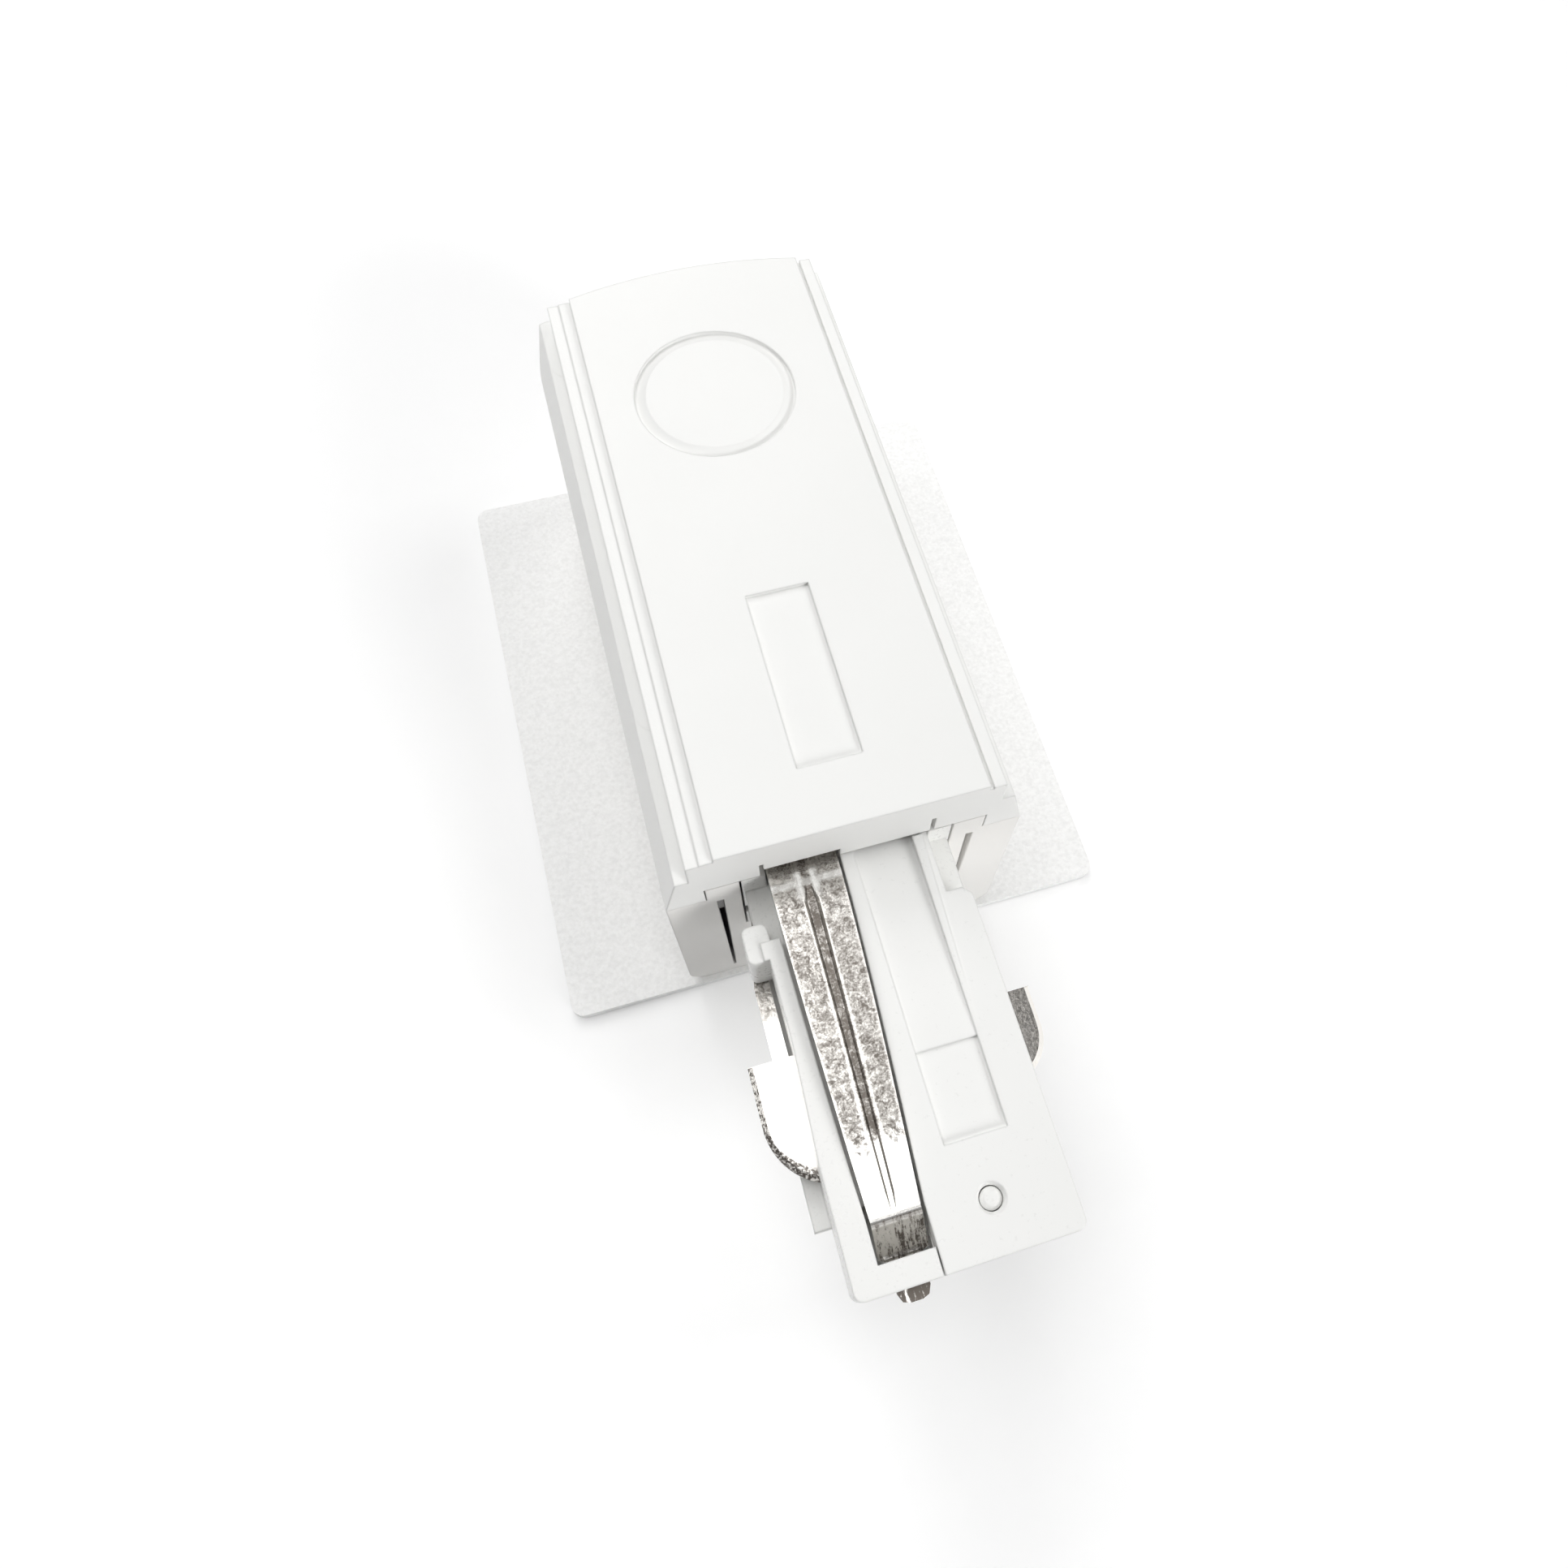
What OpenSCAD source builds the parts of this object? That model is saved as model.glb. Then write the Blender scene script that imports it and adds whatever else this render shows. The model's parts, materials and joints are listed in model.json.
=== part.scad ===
// Live-end feed for a recessed single-circuit lighting track.
// It lies on its flange, as it would on a bench: Z up, Y from the track towards the feed's closed end.
// The origin is in the plane where the cut end of the track butts, at the room face of the flange.

/* [Flange] */
// How far the flange stands out on each side of the housing
flange_side = 13.5; // [10:0.5:18]
// How far the flange stands out behind the housing
flange_rear = 1.5; // [0.5:0.25:6]
// How far the flange stands out under the tongue, in front of the housing
flange_lip = 0.6; // [0.2:0.1:2]
// Thickness of the flange plate
flange_t = 1; // [0.8:0.1:1.4]
// Corner radius of the flange plate
flange_r = 1.5; // [0.5:0.25:4]

/* [Housing] */
// Width of the housing, across the track
body_w = 35; // [34:0.5:40]
// Length of the housing, along the track
body_l = 68.4; // [67:0.2:80]
// Height of the whole feed, from the flange's room face to the top of the cover
body_h = 37; // [36:0.5:42]
// Height of the cover above the joint with the housing
cover_h = 10; // [9.6:0.1:10.4]
// Wall thickness of the housing
wall = 1.8; // [1.5:0.1:2]
// Floor thickness of the housing
floor_t = 2; // [1.6:0.1:2.6]
// Radius along the lower long edges of the housing
edge_r = 2.5; // [1.5:0.25:3]
// Radius of the upright rear corners
rear_r = 2.5; // [1:0.25:4]
// Width of the wedge-shaped slits beside the tongue, at their top
slit_w = 0.7; // [0.5:0.1:1]
// Distance of the slits from the middle
slit_x = 12.4; // [12.2:0.1:13]

/* [Cover] */
// Wall thickness of the cover
cover_t = 1.6; // [1.3:0.1:1.8]
// Height of the raised middle field above the ledges
plateau_step = 0.5; // [0.3:0.1:0.8]
// Width of the ledge on the left of the middle field
ledge_w = 2.5; // [2:0.1:2.8]
// Width of the narrower ledge on the right
right_ledge_w = 1.6; // [1.2:0.1:2.8]
// Drop from the ledge to the shoulder below it
shoulder_drop = 3.5; // [3:0.1:4]
// Width of the shoulder
shoulder_w = 1.3; // [0.8:0.1:1.4]
// How far the cover's skirt flares out below the shoulder
flare = 1.4; // [0.8:0.1:1.5]
// How far the middle field's rear edge bows out
rear_bow = 1.5; // [0.5:0.1:2.5]
// Radius of the round cable knock-out
knockout_r = 8.4; // [7:0.1:9]
// Distance of the knock-out from the front face
knockout_y = 50.3; // [48:0.1:52]
// Depth of the groove round the knock-out
knockout_d = 0.45; // [0.3:0.05:0.7]
// Width of the groove round the knock-out
knockout_w = 1.2; // [1:0.1:1.5]
// Width of the shallow label field
field_w = 6.2; // [5:0.1:9]
// Length of the label field
field_l = 18.7; // [14:0.1:22]
// Distance of the label field from the front face
field_y = 6.4; // [4:0.1:8]
// Depth of the label field
field_d = 0.4; // [0.2:0.05:0.6]

/* [Tongue] */
// Width of the tongue that enters the track
tongue_w = 20; // [19.6:0.1:20.2]
// Length of the tongue in front of the housing
tongue_l = 36.6; // [36:0.1:40]
// Height of the tongue
tongue_h = 12.3; // [12:0.1:13]
// Drop from the top of the cover to the top of the tongue
tongue_drop = 7.5; // [7.3:0.1:7.8]
// Radius of the tongue's front corners
tongue_r = 0.9; // [0.5:0.1:1.2]
// Width of the rails that run along both sides of the tongue
rail_w = 2.1; // [1.8:0.1:2.3]
// Distance from the housing at which the rails widen
rail_start = 6; // [4:0.5:8]
// Thickness of the lid on the right half of the tongue
lid_t = 3; // [2.6:0.1:3.2]
// Radius of the stake that holds the lid
stake_r = 0.95; // [0.8:0.05:1]
// Distance of the stake from the tongue's front
stake_in = 4.5; // [4:0.1:6]

/* [Contacts] */
// Reach of the blade contacts from the middle of the track
contact_reach = 13.8; // [13.4:0.1:14.2]
// Thickness of the contact sheet
contact_t = 1.2; // [1:0.1:1.3]
// Drop from the tongue's top to the contact's top
contact_drop = 7.5; // [7.3:0.1:7.8]
// Radius of the rounded lead-in of the left blade
head_r = 6.5; // [6:0.1:7]
// Radius of the rounded lead-in of the right blade
right_head_r = 4.6; // [4.2:0.1:5.2]
// Width of the sloping rim along the blades' outer edges
rim = 0.5; // [0.2:0.1:0.6]
// Distance of the blade's rear edge from the housing
head_back = 15; // [14:0.1:17]
// Length of the straight stretch of the left blade
head_flat = 5.4; // [3:0.1:6]
// Length of the straight stretch of the right blade
right_head_flat = 3.6; // [3:0.1:5]
// Radius of the posts on which the contacts turn
post_r = 1.2; // [1:0.05:1.3]
// Play round every moving contact
play = 0.3; // [0.25:0.05:0.35]

/* [Earth spring] */
// Thickness of the earth spring
strip_t = 0.5; // [0.4:0.05:0.6]
// Width of the earth spring at the housing
strip_rear_w = 6.7; // [6:0.1:6.8]
// Width of the earth spring at its tip
strip_front_w = 4.4; // [4:0.1:5]
// Height of the earth spring's bow
strip_bow = 0.9; // [0.5:0.1:1.3]
// Depth of the pressed rib at the housing
rib_d = 0.4; // [0.2:0.05:0.45]
// Half width of the pressed rib at the housing
rib_w = 0.7; // [0.5:0.05:0.9]
// Slope of the spring's bent-down end, in degrees
tail_a = 50; // [46:1:54]
// Radius of the pin on which the earth spring turns
pin_r = 0.85; // [0.8:0.05:0.9]

/* [Terminals] */
// Distance between neighbouring terminals
pitch = 9.6; // [9.5:0.05:9.7]
// Width of a terminal's brass body
terminal_w = 6; // [5.4:0.1:6.2]
// Length of a terminal's brass body
terminal_l = 10; // [9.6:0.1:10]
// Height of a terminal's brass body
terminal_h = 7.4; // [7:0.1:7.6]
// Radius of the bore for the supply wire
wire_r = 1.6; // [1.4:0.05:1.7]
// Radius of the internal leads with their insulation
lead_r = 1; // [0.8:0.05:1.1]
// Radius of the thin conductor inside the leads
core_r = 0.7; // [0.5:0.05:0.75]
// Clear height under the cable clamp
clamp_h = 6; // [5:0.1:7]

/* [Hidden] */
$fn = 48;
eps = 0.02;     // overlap that keeps cuts and unions clean
gap = 0.1;      // fitting gap between pieces of one body
shade = "whitesmoke";

// Flange outline
flange_w = body_w + 2 * flange_side;
flange_l = flange_lip + body_l + flange_rear;

// Housing heights
split_h = body_h - cover_h;
base_z = flange_t;
floor_z = base_z + floor_t;
half_w = body_w / 2;
inner_w = half_w - wall;
slit_foot = 0.4 * slit_w;       // width of the slits at their foot

// Cover tiers, from the top down
ledge_z = body_h - plateau_step;
shoulder_z = ledge_z - shoulder_drop;
shoulder_x = half_w - flare;
ledge_x = shoulder_x - shoulder_w;
plateau_x = [ledge_w - ledge_x, ledge_x - right_ledge_w];   // left and right edge of the middle field
ledge_line = 0.15;      // drop of the left ledge's outer half
foot_w = 0.4;   // groove along the foot of the middle field's right edge
foot_d = 0.3;
groove_floor = 0.2;     // flat floor of the knock-out's groove, before its sloping inner side
groove_run = knockout_w - groove_floor;
ceiling_z = body_h - knockout_d - 1.2;
web_t = 0.5;    // what is left of the cover under the knock-out's groove
score_in = 0.2; // how far the score line on the inside stays within the groove
score_w = 0.8;

// Tongue heights
tongue_z = body_h - tongue_drop;
tongue_low = tongue_z - tongue_h;
tongue_x = tongue_w / 2;
lid_z = tongue_z - lid_t;
collar = 0.2;   // how far the collar stands out of the tongue
collar_x = tongue_x + collar;
mouth_x = collar_x + 2 * gap;
mouth_z = tongue_low - gap;
neck_x = 7.7;   // half width of the tongue's top where it passes the cover
tab_x = 13.6;   // outer end of the raised tab on the housing's front wall
tab_z = tongue_z + 0.3;
guide_out = 1.4;        // how far the guide block beside the left rail stands out of the tongue
guide_y = [4.2, 7.7];   // its rear and front end
guide_r = 0.7;
guide_drop = 0.3;       // drop from the tongue's top to the guide block's
rail_back = 0.5;        // how far the left rail is set back above the contact's arm
root_y = 14;    // rear end of the carrier inside the housing
root_x = tab_x - 0.4;

// Contact places
contact_z = tongue_z - contact_drop;
post_x = pitch;
post_y = 9;
eye_r = post_r + 1.2;
head_y = head_back + head_flat;
head_in = 8.2;  // inner edge of the blade inside the tongue
arm_w = 1.5;
arm_rear_x = 8.4;
arm_front_x = 9.9;
arm_y = [1, 8];         // where the arm starts and ends to slant outwards
slot_in = 5.8;  // inner wall of the side slots
slot_low = contact_z - contact_t - play;
slot_high = contact_z + play;
slot_front = head_y + head_r + 0.5;
post_top = contact_z + 2;

// Earth spring path
pin_y = 7;
eye_in = pin_r + 0.08;
eye_out = eye_in + strip_t;
eye_x = [-5.6, -1.4];   // ends of the eye, which is narrower than the spring
ear_t = 0.9;
ear_r = 1.7;            // half length of the ears
lug_x = eye_x[1] + play + ear_t + gap;
pin_drop = 0.8;         // drop from the tongue's top to the pin
pin_z = tongue_z - pin_drop;
strip_z = pin_z + eye_in + strip_t / 2;
strip_x0 = -4.45;       // middle of the spring at the housing
strip_x1 = -5;          // middle of the spring at its tip
bend_in = 5.7;          // distance of the bend from the tongue's front
strip_end = tongue_l - bend_in; // front end of the spring's long stretch
strip_fall = 0.5;       // how far the bend lies below the spring's rear end
bend_r = 0.7;
tail_drop = 3.4;        // drop from the tongue's top to the spring's tip
tail_z = tongue_z - tail_drop;
tip_out = 1.1;          // how far the tip stands out of the tongue
tip_r = 0.9;            // rounding of the tip's corners
rib_start = 3;          // rear end of the pressed rib, in front of the housing
rib_stop = 0.4;         // distance of its front end from the bend
tail_w = 2.9;
channel_z = tongue_z - 2.2;
channel_x = strip_x0 - strip_rear_w / 2 - play;
lid_rear_x = strip_x0 + strip_rear_w / 2 + play;
rear_rest = 3;          // how far the lid reaches into the housing
web_y = tongue_l - 2.3;
key_out = 1.6;          // how far the key stands out of the tongue
key_in = 6.5;           // distance of the key from the tongue's front
recess_x = [lid_rear_x + 1.3, tongue_x - rail_w - 1.7];
recess_y = [19.2, 27.1];        // front ends of the lid's two recesses
recess_d = [0.6, 0.15, 0.4];    // their depths, from the housing to the front
ridge_y = 18.5;         // front end of the ridge beside the recess
ridge_h = 0.35;
ridge_w = [1, 0.4];
stake_x = 3;
stake_d = 0.4;          // depth of the sloping ring round the stake's head
stake_w = 0.35;
pocket_z = tail_z - 2;

// Leads and their lugs
lug_r = 2.2;
lug_t = 0.6;
lug_l = 4.2;            // reach of a contact's lug behind its post
lug_w = 1.8;
ring_r = 1.9;           // ring of the earth lead
lead_in = 3.4;          // how far the bare end of a lead reaches into its terminal
wire_z = contact_z + play + lug_t + 0.3;

// Terminals
lead_run = 7;           // free run of the leads between carrier and terminal block
block_y0 = root_y + lead_run;
block_wall = 2.2;
block_rear = 2.8;
block_floor = 2;
block_lip = 1;
waist_w = 1.2;
term_y = block_y0 + block_wall;
term_z = wire_z - wire_r - 1.4;
block_y1 = term_y + terminal_l + block_rear;
block_x = pitch + terminal_w / 2 + 1.6;
block_z = term_z - block_floor;
block_top = term_z + terminal_h + block_lip;
wire_l = terminal_l - 4;
lead_stop = block_y0 + block_wall - 0.4;        // where the leads' insulation ends
screw_y = term_y + terminal_l - wire_l / 2;
stop_t = 1.3;           // stops behind the block
rib_t = 1.6;            // ribs under the block

// Screws
screw_r = 1.2;
hole_r = 1.4;
pilot_r = 1.25;
pan_r = 2.2;            // heads of the pan-head screws
head_h = 1.6;
head_up = 0.8;          // how far the terminal screws' heads stand above the terminals
slot_cut = 0.6;
sink_r = 2.5;           // countersinks in the flange
sink_h = flange_t - 0.1;
sink_in = 0.1;          // how far the countersunk heads lie below the flange's face

// Fastener places
tube_r = 2.4;
tube_in = 0.3;          // how far the screw tubes sink into the walls
lead_room = 0.5;        // room between the tubes and the leads
corner_x = max(inner_w - tube_r + tube_in, pitch + lead_r + lead_room + tube_r);
corner_y = [root_y + 3.6, body_l - 6.4];
cover_grip = 4.4;       // how far the cover screws reach into the cover
boss_h = 4;             // bosses on the housing's floor
carrier_screw_x = 3.2;
carrier_screw_y = 10.5;
seat_z = slot_high + 0.6;       // seat of the carrier screws' heads
flange_screw_y = [28, 44];
clamp_y = corner_y[1] - 4;
clamp_x = 9;
clamp_t = 2.6;
clamp_ear = tube_r + 0.6;
ridge_r = 2.2;          // rounded ridge under the cable
ridge_l = 12;
lip_t = 1;              // lip of the cover inside the housing
lip_h = 1.2;
lip_end = clamp_y - 1.6;
post_w = 4;             // post of the cover above the terminal block
post_t = 1.4;

// Small helpers

// Rectangle with four rounded corners, its lower left corner at the origin
module rounded(w, l, r) {
  translate([r, 0]) square([w - 2 * r, l]);
  translate([0, r]) square([w, l - 2 * r]);
  for (x = [r, w - r], y = [r, l - r])
    translate([x, y]) circle(r);
}

// Box given by its two corners
module span(a, b) translate(a) cube(b - a);

module both_sides() {
  children();
  mirror([1, 0, 0]) children();
}

// Upright ring of outer radius r and width w
module hoop(r, w, h) difference() {
  cylinder(r = r, h = h);
  translate([0, 0, -1]) cylinder(r = r - w, h = h + 2);
}

// Rod of radius r from point a to point b, with exact round ends
module rod(a, b, r) {
  d = b - a;
  l = norm(d);
  translate(a)
    rotate([0, acos(d[2] / l), atan2(d[1], d[0])])
      cylinder(r = r, h = l);
}

// Slotted pan-head screw whose head rests at z = 0 and whose shank points down
module pan_screw(head_r, shank_l) {
  difference() {
    union() {
      cylinder(r = head_r, h = head_h * 0.55);
      translate([0, 0, head_h * 0.55]) cylinder(r1 = head_r, r2 = head_r * 0.7, h = head_h * 0.45);
    }
    translate([-head_r - 1, -slot_cut / 2, head_h / 2]) cube([2 * head_r + 2, slot_cut, head_h]);
  }
  translate([0, 0, -shank_l]) cylinder(r = screw_r, h = shank_l + eps);
}

// Countersunk screw whose flat head lies at z = 0 and whose shank points up
module sunk_screw(shank_l) {
  difference() {
    union() {
      cylinder(r1 = sink_r - play / 2, r2 = screw_r, h = sink_h);
      cylinder(r = screw_r, h = shank_l);
    }
    for (a = [0, 90])
      rotate([0, 0, a]) translate([-screw_r, -slot_cut / 2, -eps])
        cube([2 * screw_r, slot_cut, sink_h - 0.2]);
  }
}

// Flange

module flange_plate() {
  color("white") difference() {
    translate([-flange_w / 2, -flange_lip, 0])
      linear_extrude(flange_t) rounded(flange_w, flange_l, flange_r);
    both_sides()
      for (y = corner_y) translate([corner_x, y, 0]) flange_hole();
    for (y = flange_screw_y) translate([0, y, 0]) flange_hole();
  }
}

module flange_hole() {
  translate([0, 0, -eps]) cylinder(r = hole_r, h = flange_t + 2 * eps);
  translate([0, 0, -eps]) cylinder(r1 = sink_r, r2 = hole_r, h = sink_h + eps);
}

// Housing

// Plan of the housing: square at the front, rounded at the rear corners
module housing_plan(inset) {
  r = max(rear_r - inset, 0.4);
  w = half_w - inset;
  y1 = body_l - inset;
  translate([-w, inset]) square([2 * w, y1 - inset - r]);
  translate([-w + r, inset]) square([2 * (w - r), y1 - inset]);
  for (s = [-1, 1]) translate([s * (w - r), y1 - r]) circle(r);
}

// Section of the housing across the track, with rounded lower edges
module housing_section() {
  translate([-half_w, base_z + edge_r]) square([body_w, split_h - base_z - edge_r]);
  translate([-half_w + edge_r, base_z]) square([body_w - 2 * edge_r, edge_r + eps]);
  for (s = [-1, 1]) translate([s * (half_w - edge_r), base_z + edge_r]) circle(edge_r);
}

// Turns a section drawn in X and Z so that it runs along Y from y0 over length l
module along_y(y0, l) translate([0, y0 + l, 0]) rotate([90, 0, 0]) linear_extrude(l) children();

module base_housing() {
  color(shade) difference() {
    union() {
      difference() {
        intersection() {
          along_y(0, body_l) housing_section();
          linear_extrude(split_h) housing_plan(0);
        }
        translate([0, 0, floor_z]) linear_extrude(split_h) housing_plan(wall);
      }
      housing_inside();
    }
    // mouth for the tongue
    span([-mouth_x, -1, mouth_z], [mouth_x, wall + eps, split_h + 1]);
    both_sides() {
      // wedge-shaped slit that lets the wall beside the tongue spring
      translate([slit_x, 0, 0]) along_y(-1, wall + 1 + eps)
        polygon([[-slit_foot / 2, floor_z], [slit_foot / 2, floor_z],
                 [slit_w / 2, split_h - 1], [-slit_w / 2, split_h - 1]]);
      for (y = corner_y) translate([corner_x, y, 0]) cylinder(r = hole_r, h = split_h + 1);
      translate([carrier_screw_x, carrier_screw_y, floor_z + boss_h]) cylinder(r = pilot_r, h = tongue_low);
      translate([clamp_x, clamp_y, floor_z]) cylinder(r = pilot_r, h = clamp_h + 1);
    }
    for (y = flange_screw_y) translate([0, y, 0]) cylinder(r = pilot_r, h = floor_z + boss_h - 0.5);
  }
}

module housing_inside() {
  both_sides() {
    // tabs that stand up beside the tongue
    span([mouth_x, 0, split_h - eps], [tab_x, wall, tab_z]);
    for (y = corner_y) translate([corner_x, y, base_z]) cylinder(r = tube_r, h = split_h - base_z);
    translate([carrier_screw_x, carrier_screw_y, base_z]) cylinder(r = 2.3, h = tongue_low - base_z);
    translate([clamp_x, clamp_y, base_z]) cylinder(r = tube_r, h = floor_z + clamp_h - base_z);
    // stops behind the terminal block
    span([block_x - 0.6, block_y1 + gap, floor_z - eps],
         [inner_w + eps, block_y1 + gap + stop_t, split_h - 3]);
  }
  for (y = flange_screw_y) translate([0, y, base_z]) cylinder(r = tube_r, h = floor_z + boss_h - base_z);
  // ribs that carry the terminal block
  for (y = [block_y0 + 1, block_y1 - 2 - rib_t])
    span([-inner_w - eps, y, floor_z - eps], [inner_w + eps, y + rib_t, block_z]);
  // rounded ridge that grips the cable
  intersection() {
    translate([-ridge_l / 2, clamp_y, floor_z + 0.8 - ridge_r]) rotate([0, 90, 0])
      cylinder(r = ridge_r, h = ridge_l);
    span([-ridge_l / 2, clamp_y - ridge_r, base_z + 1], [ridge_l / 2, clamp_y + ridge_r, floor_z + ridge_r]);
  }
}

// Cover

// Section of the cover's outside, in X and Z. A fine step halves the left ledge, and a groove runs
// along the inner edge of the right one
module cover_section() {
  line_x = -ledge_x + ledge_w / 2;
  foot_x = plateau_x[1] + foot_w;
  polygon([
    [half_w, split_h], [shoulder_x, shoulder_z], [ledge_x, shoulder_z], [ledge_x, ledge_z],
    [foot_x, ledge_z], [foot_x, ledge_z - foot_d], [plateau_x[1], ledge_z - foot_d],
    [plateau_x[1], body_h], [plateau_x[0], body_h], [plateau_x[0], ledge_z],
    [line_x, ledge_z], [line_x, ledge_z - ledge_line], [-ledge_x, ledge_z - ledge_line],
    [-ledge_x, shoulder_z], [-shoulder_x, shoulder_z], [-half_w, split_h]]);
}

// Plan of the ledges and the middle field, whose rear edge is an arc
module upper_plan() {
  chord = (plateau_x[1] - plateau_x[0]) / 2;
  arc_r = (chord * chord + rear_bow * rear_bow) / (2 * rear_bow);
  translate([-ledge_x - 1, 0]) square([2 * ledge_x + 2, body_l - rear_bow]);
  intersection() {
    translate([plateau_x[0] + chord, body_l - arc_r]) circle(arc_r, $fn = 180);
    translate([plateau_x[0], body_l - rear_bow - 2]) square([2 * chord, rear_bow + 4]);
  }
}

module top_cover() {
  color(shade) difference() {
    union() {
      difference() {
        intersection() {
          along_y(0, body_l) cover_section();
          union() {
            linear_extrude(shoulder_z) housing_plan(0);
            linear_extrude(body_h + 1) upper_plan();
          }
        }
        cover_hollow();
      }
      both_sides() {
        for (y = corner_y)
          translate([corner_x, y, split_h]) cylinder(r = tube_r, h = shoulder_z - split_h + eps);
        // lip that finds its place inside the housing
        span([inner_w - gap - lip_t, block_y0 + 1, split_h - lip_h], [inner_w - gap, lip_end, split_h + 1]);
        span([inner_w - gap - lip_t, block_y0 + 1, split_h], [inner_w + 0.5, lip_end, split_h + 1]);
      }
      // post that keeps the terminal block down
      span([-post_w / 2, block_y1 - 2.2, block_top + gap],
           [post_w / 2, block_y1 - 2.2 + post_t, ceiling_z + eps]);
    }
    both_sides() {
      for (y = corner_y) translate([corner_x, y, split_h - 1]) cylinder(r = pilot_r, h = cover_grip + 1.4);
      // thin slit beside the neck of the tongue
      span([neck_x + 0.3, -1, split_h], [neck_x + 0.7, cover_t + eps, tab_z + 2.9]);
    }
    // notch over the tabs and the tongue, and the window for the earth spring
    span([-tab_x - gap, -1, split_h - 1], [tab_x + gap, cover_t + 0.4, tab_z + gap]);
    span([channel_x, -1, tab_z], [lid_rear_x, cover_t + 0.4, strip_z + strip_t / 2 + 1.2]);
    cover_recesses();
  }
}

module cover_hollow() {
  low = inner_w;
  high = ledge_x - cover_t;
  translate([0, 0, split_h - 1])
    linear_extrude(shoulder_z - cover_t - split_h + 1) housing_plan(half_w - low);
  span([-high, cover_t, split_h - 1], [high, body_l - rear_bow - cover_t, ceiling_z]);
}

module cover_recesses() {
  // groove round the knock-out, with a sloping inner side, and the score line under it
  translate([0, knockout_y, body_h - knockout_d]) difference() {
    cylinder(r = knockout_r, h = knockout_d + 1);
    translate([0, 0, -knockout_d]) cylinder(
      r1 = knockout_r - groove_floor + groove_run, r2 = knockout_r - groove_floor - 2 * groove_run,
      h = 3 * knockout_d);
  }
  translate([0, knockout_y, ceiling_z - eps])
    hoop(knockout_r - score_in, score_w, body_h - knockout_d - web_t - ceiling_z + eps);
  span([-field_w / 2, field_y, body_h - field_d], [field_w / 2, field_y + field_l, body_h + 1]);
}

// Tongue

// Edges of the well round the earth spring, y mm in front of the housing
function well_left(y) = strip_mid(y) - strip_half(y) - play;
function well_right(y) = strip_mid(y) + strip_half(y) + play;
rail_y = [for (i = [0 : 8]) rail_start + (strip_end - rail_start) * i / 8];
well_y = concat([-rear_rest], [for (i = [0 : 9]) strip_end * i / 9], [tongue_l]);

// Plan of the tongue and its root, with the tongue's front corners rounded
module tongue_plan() {
  translate([-root_x - 1, tongue_r - tongue_l]) square([2 * root_x + 2, tongue_l - tongue_r + root_y + 1]);
  translate([tongue_r - tongue_x, -tongue_l]) square([tongue_w - 2 * tongue_r, tongue_l]);
  for (s = [-1, 1]) translate([s * (tongue_x - tongue_r), tongue_r - tongue_l]) circle(tongue_r);
}

module contact_carrier() {
  color(shade) intersection() {
    linear_z(tongue_low - 1, body_h) tongue_plan();
    carrier_body();
  }
}

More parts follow.
